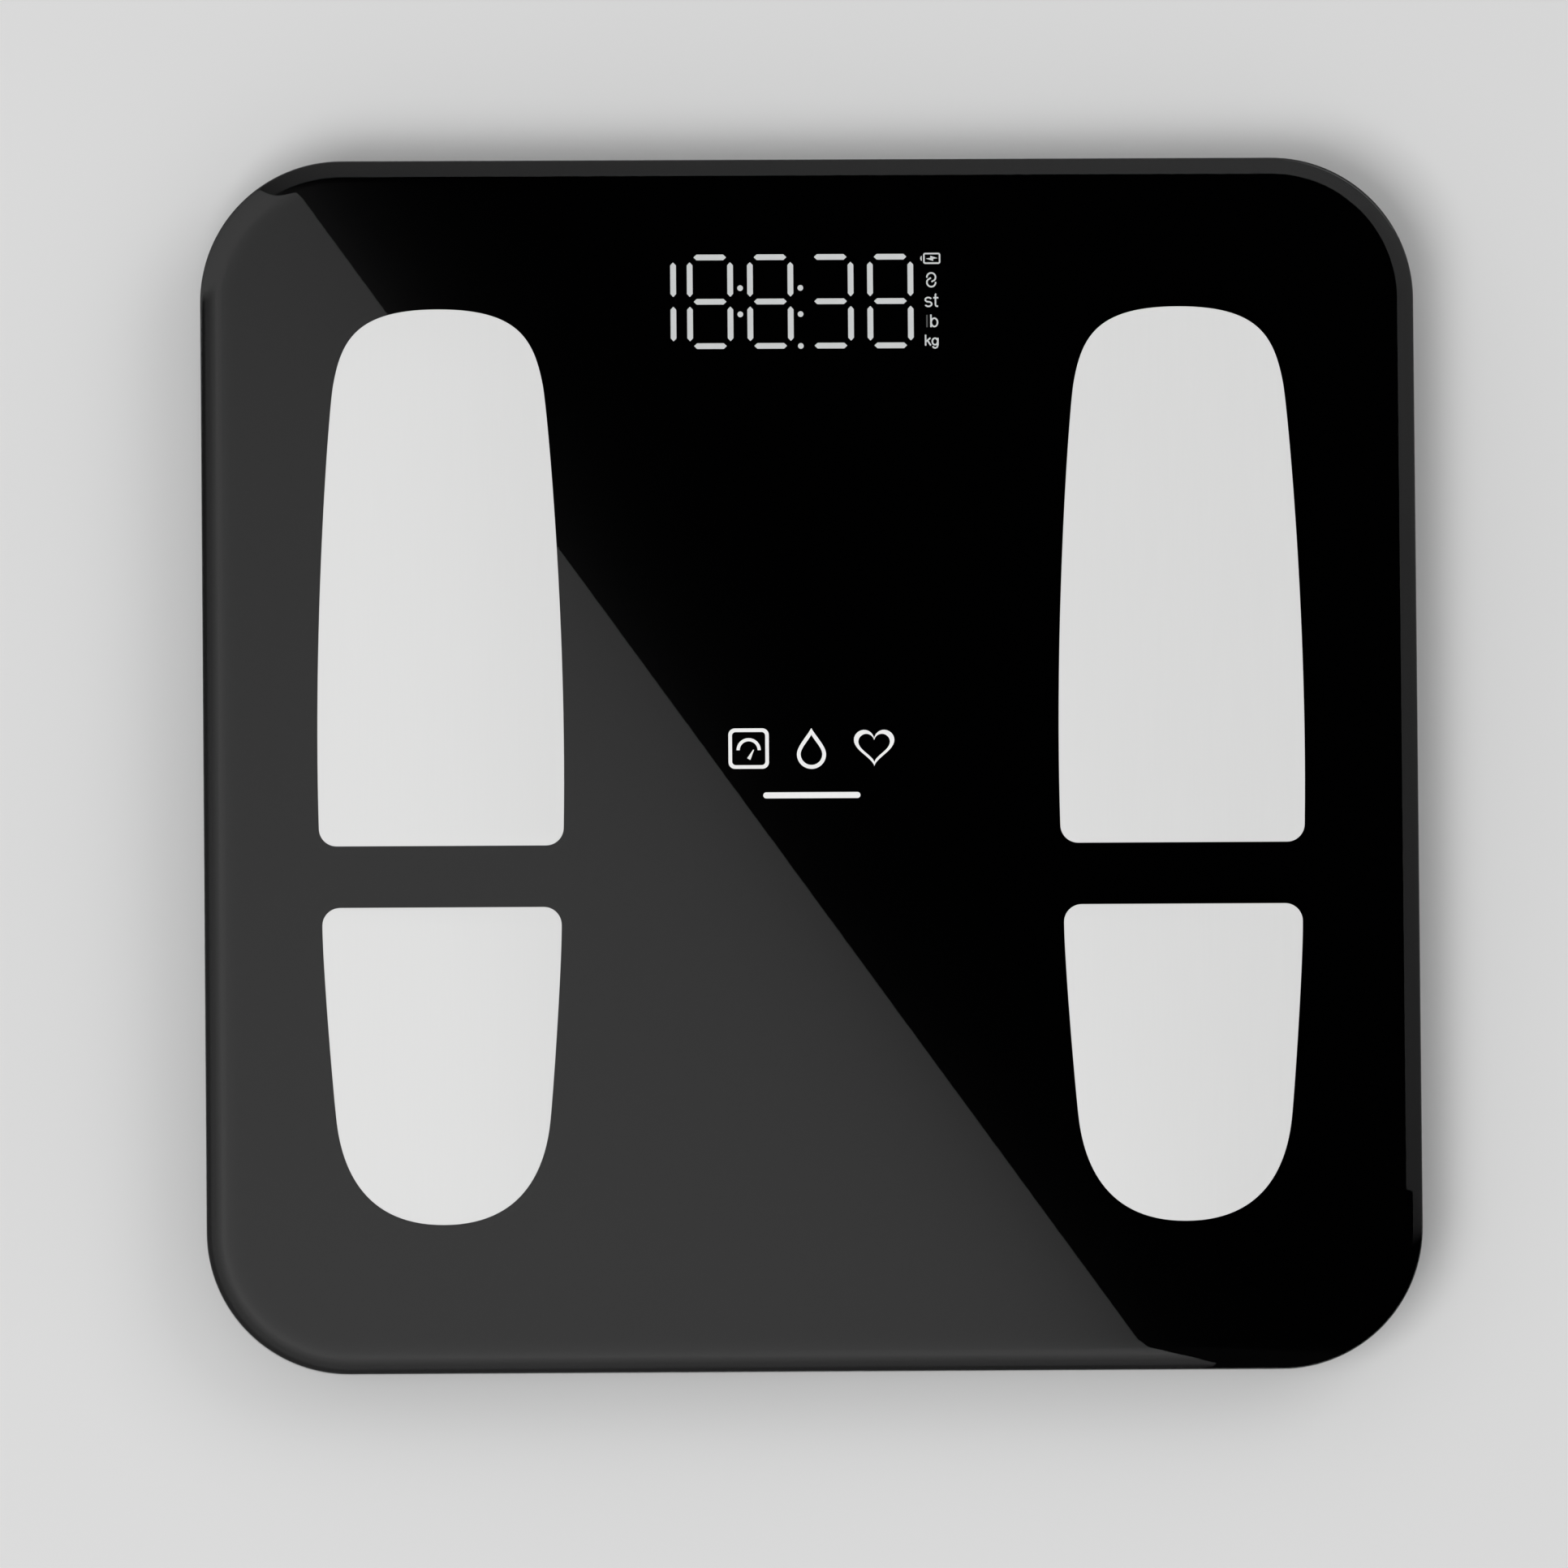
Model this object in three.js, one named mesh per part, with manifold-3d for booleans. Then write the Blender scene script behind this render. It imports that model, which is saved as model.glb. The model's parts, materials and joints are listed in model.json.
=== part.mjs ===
// Glass-topped body-composition bathroom scale. Millimetres, +Z up.
// The origin is the centre of the plane under the four foot pads.
// +Y points from the heels to the toes and the display, +X to the user's right.
import * as THREE from 'three';
import { mergeVertices } from 'three/addons/utils/BufferGeometryUtils.js';
import Module from 'manifold-3d';

const wasm = await Module();
wasm.setup();

// Platform outline
const HALF_SIDE = 150;
const CORNER_RADIUS = 35;
const CORNER_STEPS = 14;
const ROUND_SIDES = 40;
const SMALL_ROUND_SIDES = 12;

// Heights above the floor
const BASE_BOTTOM = 4;
const FLOOR_TOP = 6.2;
const BASE_TOP = 18.7;
const GLASS_BOTTOM = 19;
const GLASS_TOP = 25;
const ELECTRODE_TOP = 25.25;

// Glass edge: a crown that falls ever more steeply, then a small roll into the side
const CROWN_WIDTH = 5.6;
const CROWN_SLOPE = 18;
const CROWN_STEPS = 5;
const ROLL = 0.5;
const ROLL_STEPS = 2;
const LOWER_ARRIS = 0.8;

// Adhesive ring between the base and the glass, as insets from the platform's side
const ADHESIVE_OUTER = 1.8;
const ADHESIVE_INNER = 4.3;

// Electrodes
const ELECTRODE_X = 91.5;
const ELECTRODE_CORNER = 4.4;
const STUD_RADIUS = 1.5;
const STUD_BOTTOM = 17.2;
const STUD_HOLE_RADIUS = 2;
const OUTLINE_STEPS = 7;
const TOE_ELECTRODE = {
  tipY: 113, away: -1, studY: 40, endHalfWidth: 30.2, sideLength: 128.4,
  shoulder: [25.9, 18.9], tipHandle: 19.9, shoulderHandle: 11.6, slope: 0.18, flankHandle: 6,
  endHandle: [31.4, 77.8],
};
const HEEL_ELECTRODE = {
  tipY: -113.4, away: 1, studY: -60, endHalfWidth: 29.5, sideLength: 74,
  shoulder: [26.4, 26.1], tipHandle: 19.1, shoulderHandle: 13, slope: 0.1, flankHandle: 11.1,
  endHandle: [29.5, 65.2],
};

// Inside of the housing: ribs, screw bosses and marks on the underside
const ROOT = 0.5;
const RIB_HALF = 0.75;
const RIB_TOP = 9.2;
const RIB_END = HALF_SIDE - 5;
const LENGTHWISE_RIB_X = [-45, 45];
const CROSSWISE_RIB_Y = [-60, 0];
const BOARD_BOSS_RADIUS = 3;
const CARRIER_BOSS_RADIUS = 3.2;
const PILOT_RADIUS = 1.3;
const PILOT_BOTTOM = 7;
const LABEL_Y = -50;
const LABEL_HALF = [34, 21];
const LABEL_DEPTH = 0.4;

// Pan-head screws
const SHANK_RADIUS = 1;
const SHANK_POINT = 0.8;
const HEAD_RADIUS = 2.8;
const HEAD_EDGE = 0.9;
const HEAD_HEIGHT = 1.5;
const SCREW_CLEARANCE_RADIUS = 1.6;

// Feet and load cells
const FOOT_XY = 110;
const PAD_RADIUS = 15;
const PAD_TOP = 2.6;
const PAD_CHAMFER = 0.8;
const PAD_GAP = 0.3;
const CUP_BOTTOM = 1.2;
const CUP_RADIUS = 18;
const CUP_CHAMFER = 0.6;
const FLANGE_RADIUS = 19.5;
const FLANGE_BOTTOM = 6.5;
const CUP_TOP = 7.6;
const POST_RADIUS = 4;
const FOOT_HOLE_RADIUS = 18.5;
const PEDESTAL_INNER = 20.2;
const PEDESTAL_OUTER = 22.2;
const GROOVE_INNER = 22.8;
const GROOVE_OUTER = 24;
const GROOVE_DEPTH = 0.5;
const CELL_HALF = 17;
const CELL_BOTTOM = 9;
const CELL_TOP = 10.5;
const SLOT_INNER = 5.5;
const SLOT_OUTER = 7.5;
const SLOT_ROOT = 10;
const SLOT_END = 12;
const CARRIER_HALF = 22;
const CARRIER_OPENING = 13;
const EAR_REACH = 8;
const EAR_TOP = 13;
const EAR_HALF_WIDTH = 5;
const EAR_SCREW = CARRIER_HALF + EAR_REACH / 2 + 0.5;
const LEAD_OFFSET = 9;
const LEAD_NOTCH_HALF = 1.8;
const LEAD_NOTCH_HEIGHT = 3;
const SENSOR_LEAD_RADIUS = 1;
const ELECTRODE_LEAD_RADIUS = 0.6;
const BATTERY_LEAD_RADIUS = 0.7;

// Circuit board and display
const BOARD_Y = 115;
const BOARD_HALF = [52, 18];
const BOARD_BOTTOM = 12;
const BOARD_TOP = 13.6;
const BOARD_SCREW = [49, 15];
const SCREW_END = 7.5;
const REFLECTOR_TOP = 18.4;
const DISPLAY_X = [-37, 36];
const DISPLAY_HALF_Y = 14;
const DIGIT_Y = 114.8;
const DIGIT_HEIGHT = 22;
const DIGIT_WIDTH = 10;
const SEGMENT_THICKNESS = 1.6;
const SEGMENT_ACROSS = 8.1;
const SEGMENT_UP = 8.6;
const DOT_RADIUS = 0.73;
const ICON_WELL_X = [28, 33];
const ICON_WELL_HALF = 2;
const CHIP_HALF = 6;
const CHIP_BOTTOM = 11;
const RADIO = { x: [-32, -20], y: [106, 122], bottom: 10.2 };
const CONNECTOR_X = 46;
const CONNECTOR_HALF = [4, 7];
const CONNECTOR_TOP = 18;
const LEAD_END_X = 50.3;
const LEAD_END_Z = 15.8;

// Battery compartment and door
const COMPARTMENT_Y = 60;
const COMPARTMENT_HALF = [25.5, 16.75];
const COMPARTMENT_WALL = 1.5;
const COMPARTMENT_CEILING = 17.2;
const COMPARTMENT_TOP = 18.4;
const LEDGE_TOP = 7.7;
const LEDGE_WIDTH = 4;
const CELL_PITCH = 11;
const AAA_RADIUS = 5.25;
const AAA_LENGTH = 44.5;
const AAA_Z = 11.6;
const AAA_CRIMP = 0.4;
const NUB_RADIUS = 1.9;
const NUB_LENGTH = 0.9;
const CELL_END_GAP = 1.5;
const CONTACT_THICKNESS = 0.4;
const CONTACT_HALF = 4;
const PLUS_RADIUS = 2.2;
const PLUS_REACH = 1.3;
const SPRING = { turns: 3, root: 3.6, tip: 2.2, length: 4, wire: 0.35, steps: 8 };
const TERMINAL_Z = 15.2;
const TERMINAL_HALF_WIDTH = 1.5;
const DOOR_HALF_WIDTH = 28;
const DOOR_FRONT_Y = 41.2;
const DOOR_TOP = 5.9;
const DOOR_GAP = 0.3;
const HINGE_Y = 80.5;
const HINGE_Z = 5.6;
const BARREL_RADIUS = HINGE_Z - BASE_BOTTOM;
const TRUNNION_RADIUS = 0.8;
const TRUNNION_HOLE_RADIUS = 1;
const TRUNNION_LENGTH = 2.5;
const BARREL_GAP = 0.4;
const LATCH_HALF_WIDTH = 6;
const LATCH_TOP = 9;
const LATCH_WINDOW_TOP = 10;
const LATCH_SLOT_LENGTH = 9;
const GRIP_HALF_WIDTH = 4.5;
const GRIP_PITCH = 1.8;
const GRIP_GROOVE = 0.8;
const NOTCH_RADIUS = 20;
const NOTCH_DEPTH = 1.3;

// Unit button under the board
const BUTTON = [34, 104];
const BUTTON_RADIUS = 4;
const BUTTON_HOLE_RADIUS = 4.4;
const BUTTON_BOTTOM = 3.5;
const BUTTON_CHAMFER = 0.5;
const BUTTON_LIP = 1.2;
const BUTTON_LIP_HEIGHT = 0.7;
const BUTTON_STEM_RADIUS = 1.2;
const BUTTON_DISH_RADIUS = 8;
const BUTTON_DISH_DEPTH = 0.6;
const SWITCH_HALF = 3;
const SWITCH_BOTTOM = 8.5;
const SWITCH_TRAVEL_GAP = 1;
const PLUNGER_RADIUS = 1.7;
const PLUNGER_HOLE_RADIUS = 2;

const CORNERS = [
  { name: 'toe_left', sx: -1, sy: 1 },
  { name: 'toe_right', sx: 1, sy: 1 },
  { name: 'heel_left', sx: -1, sy: -1 },
  { name: 'heel_right', sx: 1, sy: -1 },
];

function finish(color, roughness, metalness) {
  return new THREE.MeshStandardMaterial({ color, roughness, metalness });
}

const BLACK_GLASS = finish(0x060708, 0.04, 0);
const STEEL = finish(0xd6d6d4, 0.35, 1);
const CELL_STEEL = finish(0x9a9c9e, 0.45, 1);
const SCREW_STEEL = finish(0x8a8c90, 0.3, 1);
const BLACK_PLASTIC = finish(0x141415, 0.6, 0);
const GREY_PLASTIC = finish(0x3a3b3d, 0.55, 0);
const WHITE_PLASTIC = finish(0xe8e8e4, 0.5, 0);
const SMOKED_FILM = finish(0x0c0c0e, 0.2, 0);
const RUBBER = finish(0x1d1d1d, 0.9, 0);
const TAPE = finish(0x202022, 0.8, 0);
const BOARD_GREEN = finish(0x1f5a38, 0.5, 0);
const CHIP_BLACK = finish(0x101010, 0.4, 0);
const RED_LEAD = finish(0xb02020, 0.5, 0);
const BLACK_LEAD = finish(0x181818, 0.5, 0);
const GREY_LEAD = finish(0x8c8c8c, 0.5, 0);
const CELL_JACKET = finish(0x2c4f86, 0.35, 0.3);
const NICKEL = finish(0xc8c4b8, 0.3, 1);

const scale = new THREE.Group();

function piece(name, geometry, material) {
  const mesh = new THREE.Mesh(geometry, material);
  mesh.name = name;
  scale.add(mesh);
}

// Basic shapes

function block([x0, x1], [y0, y1], [z0, z1]) {
  const box = new THREE.BoxGeometry(x1 - x0, y1 - y0, z1 - z0);
  return box.translate((x0 + x1) / 2, (y0 + y1) / 2, (z0 + z1) / 2);
}

function ordered(a, b) {
  return [Math.min(a, b), Math.max(a, b)];
}

function disc(radius, [z0, z1], [x, y], sides = 20) {
  const cylinder = new THREE.CylinderGeometry(radius, radius, z1 - z0, sides);
  return cylinder.rotateX(Math.PI / 2).translate(x, y, (z0 + z1) / 2);
}

function rod(radius, [x0, x1], [y, z], sides = 20) {
  const cylinder = new THREE.CylinderGeometry(radius, radius, x1 - x0, sides);
  return cylinder.rotateZ(Math.PI / 2).translate((x0 + x1) / 2, y, z);
}

// A profile of [radius, height] pairs, listed upwards along the outside, turned about Z.
function turned(profile, sides = 20) {
  const points = profile.map(([radius, z]) => new THREE.Vector2(radius, z));
  return new THREE.LatheGeometry(points, sides).rotateX(Math.PI / 2);
}

function roundedOutline(halfX, halfY, radius, steps = 4) {
  const quadrants = [[1, 1], [-1, 1], [-1, -1], [1, -1]];
  return quadrants.flatMap(([sx, sy], quarter) => {
    const arc = [];
    for (let step = 0; step <= steps; step++) {
      const angle = (quarter + step / steps) * Math.PI / 2;
      const x = sx * (halfX - radius) + radius * Math.cos(angle);
      const y = sy * (halfY - radius) + radius * Math.sin(angle);
      arc.push(new THREE.Vector2(x, y));
    }
    return arc;
  });
}

function prism(outline, [z0, z1], holes = []) {
  const shape = new THREE.Shape(outline);
  shape.holes = holes.map((hole) => new THREE.Path(hole));
  const solid = new THREE.ExtrudeGeometry(shape, { depth: z1 - z0, bevelEnabled: false });
  return solid.translate(0, 0, z0);
}

// The platform's outline drawn in by each inset at its height, and closed top and bottom.
function platformStack(levels) {
  const rings = levels.map(([inset, z]) => {
    const half = HALF_SIDE - inset;
    const outline = roundedOutline(half, half, CORNER_RADIUS - inset, CORNER_STEPS);
    return { outline, z };
  });
  const count = rings[0].outline.length;
  const position = rings.flatMap(({ outline, z }) => outline.flatMap(({ x, y }) => [x, y, z]));
  const index = [];
  for (let ring = 0; ring < rings.length - 1; ring++) {
    for (let i = 0; i < count; i++) {
      const a = ring * count + i;
      const b = ring * count + (i + 1) % count;
      index.push(a, b, b + count, a, b + count, a + count);
    }
  }
  const top = (rings.length - 1) * count;
  for (const [a, b, c] of THREE.ShapeUtils.triangulateShape(rings[0].outline, [])) {
    index.push(a, c, b, top + a, top + b, top + c);
  }
  const geometry = new THREE.BufferGeometry();
  geometry.setAttribute('position', new THREE.Float32BufferAttribute(position, 3));
  geometry.setIndex(index);
  geometry.computeVertexNormals();
  return geometry;
}

// An insulated lead or a spring wire, which follows a smooth curve through the points.
function wire(points, radius, steps, sides = 6) {
  const section = new THREE.Shape();
  section.absarc(0, 0, radius, 0, 2 * Math.PI);
  const outline = new THREE.Shape(section.getPoints(sides).slice(0, sides));
  const route = new THREE.CatmullRomCurve3(points.map((point) => new THREE.Vector3(...point)));
  return new THREE.ExtrudeGeometry(outline, { extrudePath: route, steps, bevelEnabled: false });
}

// Joins and cuts

function solidOf(geometry) {
  const bare = new THREE.BufferGeometry();
  bare.setAttribute('position', geometry.getAttribute('position'));
  bare.setIndex(geometry.getIndex());
  const merged = mergeVertices(bare);
  const vertProperties = new Float32Array(merged.getAttribute('position').array);
  const triVerts = new Uint32Array(merged.getIndex().array);
  return new wasm.Manifold(new wasm.Mesh({ numProp: 3, vertProperties, triVerts }));
}

function carve(base, added, removed) {
  let solid = solidOf(base);
  for (const geometry of added) {
    solid = solid.add(solidOf(geometry));
  }
  for (const geometry of removed) {
    solid = solid.subtract(solidOf(geometry));
  }
  const mesh = solid.getMesh();
  const geometry = new THREE.BufferGeometry();
  geometry.setAttribute('position', new THREE.BufferAttribute(mesh.vertProperties, mesh.numProp));
  geometry.setIndex(new THREE.BufferAttribute(mesh.triVerts, 1));
  geometry.computeVertexNormals();
  return geometry;
}

// Glass platform and its electrodes

function electrodeStuds() {
  return [-ELECTRODE_X, ELECTRODE_X].flatMap((x) => [
    [x, TOE_ELECTRODE.studY],
    [x, HEEL_ELECTRODE.studY],
  ]);
}

// The edge of the glass from its flat top outwards, as [inset, height].
function glassEdge() {
  const edge = [[CROWN_WIDTH, GLASS_TOP]];
  const stride = (CROWN_WIDTH - ROLL) / CROWN_STEPS;
  for (let step = 0; step < CROWN_STEPS; step++) {
    const [inset, z] = edge.at(-1);
    const share = (CROWN_WIDTH - inset + stride / 2) / CROWN_WIDTH;
    const slope = THREE.MathUtils.degToRad(CROWN_SLOPE * share);
    edge.push([inset - stride, z - stride * Math.tan(slope)]);
  }
  const rollTop = edge.at(-1)[1];
  const first = THREE.MathUtils.degToRad(CROWN_SLOPE);
  for (let step = 1; step <= ROLL_STEPS; step++) {
    const angle = first + (Math.PI / 2 - first) * step / ROLL_STEPS;
    const across = (Math.sin(angle) - Math.sin(first)) / (1 - Math.sin(first));
    const down = (Math.cos(first) - Math.cos(angle)) / (1 - Math.sin(first));
    edge.push([ROLL * (1 - across), rollTop - ROLL * down]);
  }
  return edge;
}

function glassPlatform() {
  const slab = platformStack([
    [LOWER_ARRIS, GLASS_BOTTOM],
    [0, GLASS_BOTTOM + LOWER_ARRIS],
    ...glassEdge().reverse(),
  ]);
  const holes = electrodeStuds().map((centre) => {
    return disc(STUD_HOLE_RADIUS, [GLASS_BOTTOM - 1, GLASS_TOP + 1], centre, SMALL_ROUND_SIDES);
  });
  return carve(slab, [], holes);
}

// A long pad with one round tip. Distances run from the tip, `away` is the way they run in Y.
function electrodeOutline(pad, x) {
  const [shoulderX, shoulderLength] = pad.shoulder;
  const half = new THREE.Path();
  half.moveTo(0, 0);
  half.bezierCurveTo(
    pad.tipHandle, 0,
    shoulderX - pad.shoulderHandle * pad.slope, shoulderLength - pad.shoulderHandle,
    shoulderX, shoulderLength,
  );
  half.bezierCurveTo(
    shoulderX + pad.flankHandle * pad.slope, shoulderLength + pad.flankHandle,
    pad.endHandle[0], pad.endHandle[1],
    pad.endHalfWidth, pad.sideLength,
  );
  half.absarc(pad.endHalfWidth - ELECTRODE_CORNER, pad.sideLength, ELECTRODE_CORNER, 0, Math.PI / 2);
  const right = half.getPoints(OUTLINE_STEPS);
  const left = right.slice(1).reverse().map((point) => new THREE.Vector2(-point.x, point.y));
  return [...right, ...left].map((point) => {
    return new THREE.Vector2(x + point.x, pad.tipY + pad.away * point.y);
  });
}

function electrode(pad, x) {
  const plate = prism(electrodeOutline(pad, x), [GLASS_TOP, ELECTRODE_TOP]);
  const stud = disc(STUD_RADIUS, [STUD_BOTTOM, GLASS_TOP + 0.1], [x, pad.studY], SMALL_ROUND_SIDES);
  return carve(plate, [stud], []);
}

// Base housing

function housingRibs() {
  const height = [FLOOR_TOP - ROOT, RIB_TOP];
  const length = [-RIB_END, RIB_END];
  const thickness = (middle) => [middle - RIB_HALF, middle + RIB_HALF];
  const lengthwise = LENGTHWISE_RIB_X.map((x) => block(thickness(x), length, height));
  const crosswise = CROSSWISE_RIB_Y.map((y) => block(length, thickness(y), height));
  const betweenFeet = FOOT_XY - PEDESTAL_OUTER + ROOT;
  const heelRib = block([-betweenFeet, betweenFeet], thickness(-FOOT_XY), height);
  return [...lengthwise, ...crosswise, heelRib];
}

function footPedestal({ sx, sy }) {
  const centre = [sx * FOOT_XY, sy * FOOT_XY];
  const ring = disc(PEDESTAL_OUTER, [FLOOR_TOP - ROOT, CELL_BOTTOM], centre);
  return carve(ring, [], [disc(PEDESTAL_INNER, [FLOOR_TOP - 1, CELL_BOTTOM + 1], centre)]);
}

function carrierScrewPlace({ sx, sy }) {
  return [sx * (FOOT_XY - EAR_SCREW), sy * FOOT_XY];
}

function boardScrewPlaces() {
  const [dx, dy] = BOARD_SCREW;
  return [[-dx, dy], [dx, dy], [-dx, -dy], [dx, -dy]].map(([x, y]) => [x, BOARD_Y + y]);
}

// Outside of the battery box, with the ledge that the door closes against.
function compartmentBlocks() {
  const [halfX, halfY] = COMPARTMENT_HALF.map((half) => half + COMPARTMENT_WALL);
  const box = block(
    [-halfX, halfX],
    [COMPARTMENT_Y - halfY, COMPARTMENT_Y + halfY],
    [FLOOR_TOP - ROOT, COMPARTMENT_TOP],
  );
  const ledge = block(
    [-DOOR_HALF_WIDTH - LEDGE_WIDTH, DOOR_HALF_WIDTH + LEDGE_WIDTH],
    [DOOR_FRONT_Y - LEDGE_WIDTH, HINGE_Y + LEDGE_WIDTH],
    [FLOOR_TOP - ROOT, LEDGE_TOP],
  );
  return [box, ledge];
}

function compartmentCuts() {
  const [halfX, halfY] = COMPARTMENT_HALF;
  const below = BASE_BOTTOM - 1;
  const opening = DOOR_HALF_WIDTH + DOOR_GAP;
  const barrelRoom = BARREL_RADIUS + BARREL_GAP;
  const trunnionRoom = opening + TRUNNION_LENGTH;
  const latchRoom = LATCH_HALF_WIDTH + 1;
  const interior = block(
    [-halfX, halfX],
    [COMPARTMENT_Y - halfY, COMPARTMENT_Y + halfY],
    [below, COMPARTMENT_CEILING],
  );
  const doorway = block(
    [-opening, opening],
    [DOOR_FRONT_Y - DOOR_GAP, HINGE_Y + barrelRoom],
    [below, HINGE_Z],
  );
  const doorSeat = block(
    [-opening, opening],
    [DOOR_FRONT_Y - DOOR_GAP, HINGE_Y],
    [below, DOOR_TOP + DOOR_GAP],
  );
  const latchWindow = block(
    [-latchRoom, latchRoom],
    [DOOR_FRONT_Y - DOOR_GAP, COMPARTMENT_Y - halfY + 1],
    [below, LATCH_WINDOW_TOP],
  );
  const terminalSlots = [-1, 1].map((side) => {
    const x = side * (halfX + COMPARTMENT_WALL / 2);
    const y = COMPARTMENT_Y - side * CELL_PITCH;
    const halfWidth = TERMINAL_HALF_WIDTH + 0.4;
    return block(
      [x - COMPARTMENT_WALL, x + COMPARTMENT_WALL],
      [y - halfWidth, y + halfWidth],
      [TERMINAL_Z - 0.5, TERMINAL_Z + 0.5],
    );
  });
  return [
    interior,
    doorway,
    doorSeat,
    latchWindow,
    rod(barrelRoom, [-opening, opening], [HINGE_Y, HINGE_Z]),
    rod(TRUNNION_HOLE_RADIUS, [-trunnionRoom, trunnionRoom], [HINGE_Y, HINGE_Z], SMALL_ROUND_SIDES),
    ...terminalSlots,
  ];
}

// Marks on the underside: a groove round each foot, a label recess, a finger notch, a button dish.
function undersideCuts() {
  const grooves = CORNERS.map(({ sx, sy }) => {
    const centre = [sx * FOOT_XY, sy * FOOT_XY];
    const outer = disc(GROOVE_OUTER, [BASE_BOTTOM - 1, BASE_BOTTOM + GROOVE_DEPTH], centre, ROUND_SIDES);
    const inner = disc(GROOVE_INNER, [BASE_BOTTOM - 2, BASE_BOTTOM + 1], centre, ROUND_SIDES);
    return carve(outer, [], [inner]);
  });
  const label = prism(roundedOutline(...LABEL_HALF, 2), [BASE_BOTTOM - 1, BASE_BOTTOM + LABEL_DEPTH]);
  const notch = new THREE.SphereGeometry(NOTCH_RADIUS, 20, 14);
  notch.translate(0, DOOR_FRONT_Y - 5, BASE_BOTTOM + NOTCH_DEPTH - NOTCH_RADIUS);
  return [
    ...grooves,
    label.translate(0, LABEL_Y, 0),
    notch,
    disc(BUTTON_DISH_RADIUS, [BASE_BOTTOM - 1, BASE_BOTTOM + BUTTON_DISH_DEPTH], BUTTON, ROUND_SIDES),
  ];
}

function baseHousing() {
  const shell = platformStack([
    [7, BASE_BOTTOM],
    [4.8, BASE_BOTTOM + 0.5],
    [3.4, BASE_BOTTOM + 1.9],
    [2.6, BASE_BOTTOM + 5],
    [1.6, BASE_TOP],
  ]);
  const cavity = platformStack([
    [6, FLOOR_TOP],
    [5.4, FLOOR_TOP + 2.8],
    [4.4, BASE_TOP + 1],
  ]);
  const tray = carve(shell, [], [cavity]);
  const boardPlaces = boardScrewPlaces();
  const carrierPlaces = CORNERS.map(carrierScrewPlace);
  const boss = (radius, top) => (place) => disc(radius, [FLOOR_TOP - ROOT, top], place, SMALL_ROUND_SIDES);
  const pilot = (top) => (place) => disc(PILOT_RADIUS, [PILOT_BOTTOM, top + 1], place, 8);
  const footHoles = CORNERS.map(({ sx, sy }) => {
    const centre = [sx * FOOT_XY, sy * FOOT_XY];
    return disc(FOOT_HOLE_RADIUS, [BASE_BOTTOM - 1, FLOOR_TOP + 1], centre, ROUND_SIDES);
  });
  const added = [
    ...housingRibs(),
    ...CORNERS.map(footPedestal),
    ...boardPlaces.map(boss(BOARD_BOSS_RADIUS, BOARD_BOTTOM)),
    ...carrierPlaces.map(boss(CARRIER_BOSS_RADIUS, CELL_TOP)),
    ...compartmentBlocks(),
  ];
  const removed = [
    ...footHoles,
    ...boardPlaces.map(pilot(BOARD_BOTTOM)),
    ...carrierPlaces.map(pilot(CELL_TOP)),
    ...compartmentCuts(),
    ...undersideCuts(),
    disc(BUTTON_HOLE_RADIUS, [BASE_BOTTOM - 1, FLOOR_TOP + 1], BUTTON, ROUND_SIDES),
  ];
  return carve(tray, added, removed);
}

function adhesiveRing() {
  const outer = platformStack([[ADHESIVE_OUTER, BASE_TOP], [ADHESIVE_OUTER, GLASS_BOTTOM]]);
  const inner = platformStack([[ADHESIVE_INNER, BASE_TOP - 1], [ADHESIVE_INNER, GLASS_BOTTOM + 1]]);
  return carve(outer, [], [inner]);
}

// Feet and load cells

function footCup() {
  return turned([
    [0, PAD_TOP],
    [PAD_RADIUS + PAD_GAP, PAD_TOP],
    [PAD_RADIUS + PAD_GAP, CUP_BOTTOM],
    [CUP_RADIUS - CUP_CHAMFER, CUP_BOTTOM],
    [CUP_RADIUS, CUP_BOTTOM + CUP_CHAMFER],
    [CUP_RADIUS, FLANGE_BOTTOM],
    [FLANGE_RADIUS, FLANGE_BOTTOM],
    [FLANGE_RADIUS, CUP_TOP],
    [POST_RADIUS, CUP_TOP],
    [POST_RADIUS, CELL_BOTTOM],
    [0, CELL_BOTTOM],
  ]);
}

function footPad() {
  return turned([
    [0, 0],
    [PAD_RADIUS - PAD_CHAMFER, 0],
    [PAD_RADIUS, PAD_CHAMFER],
    [PAD_RADIUS, PAD_TOP],
    [0, PAD_TOP],
  ]);
}

// A flat spring-steel plate with a U slot, which leaves a tongue that the foot's post lifts.
function loadCell() {
  const plate = roundedOutline(CELL_HALF, CELL_HALF, 3, 2);
  const slot = [
    [-SLOT_OUTER, -SLOT_END], [SLOT_OUTER, -SLOT_END],
    [SLOT_OUTER, SLOT_ROOT], [SLOT_INNER, SLOT_ROOT],
    [SLOT_INNER, -SLOT_ROOT], [-SLOT_INNER, -SLOT_ROOT],
    [-SLOT_INNER, SLOT_ROOT], [-SLOT_OUTER, SLOT_ROOT],
  ];
  const hole = slot.map(([x, y]) => new THREE.Vector2(x, y));
  return prism(plate, [CELL_BOTTOM, CELL_TOP], [hole]);
}

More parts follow.
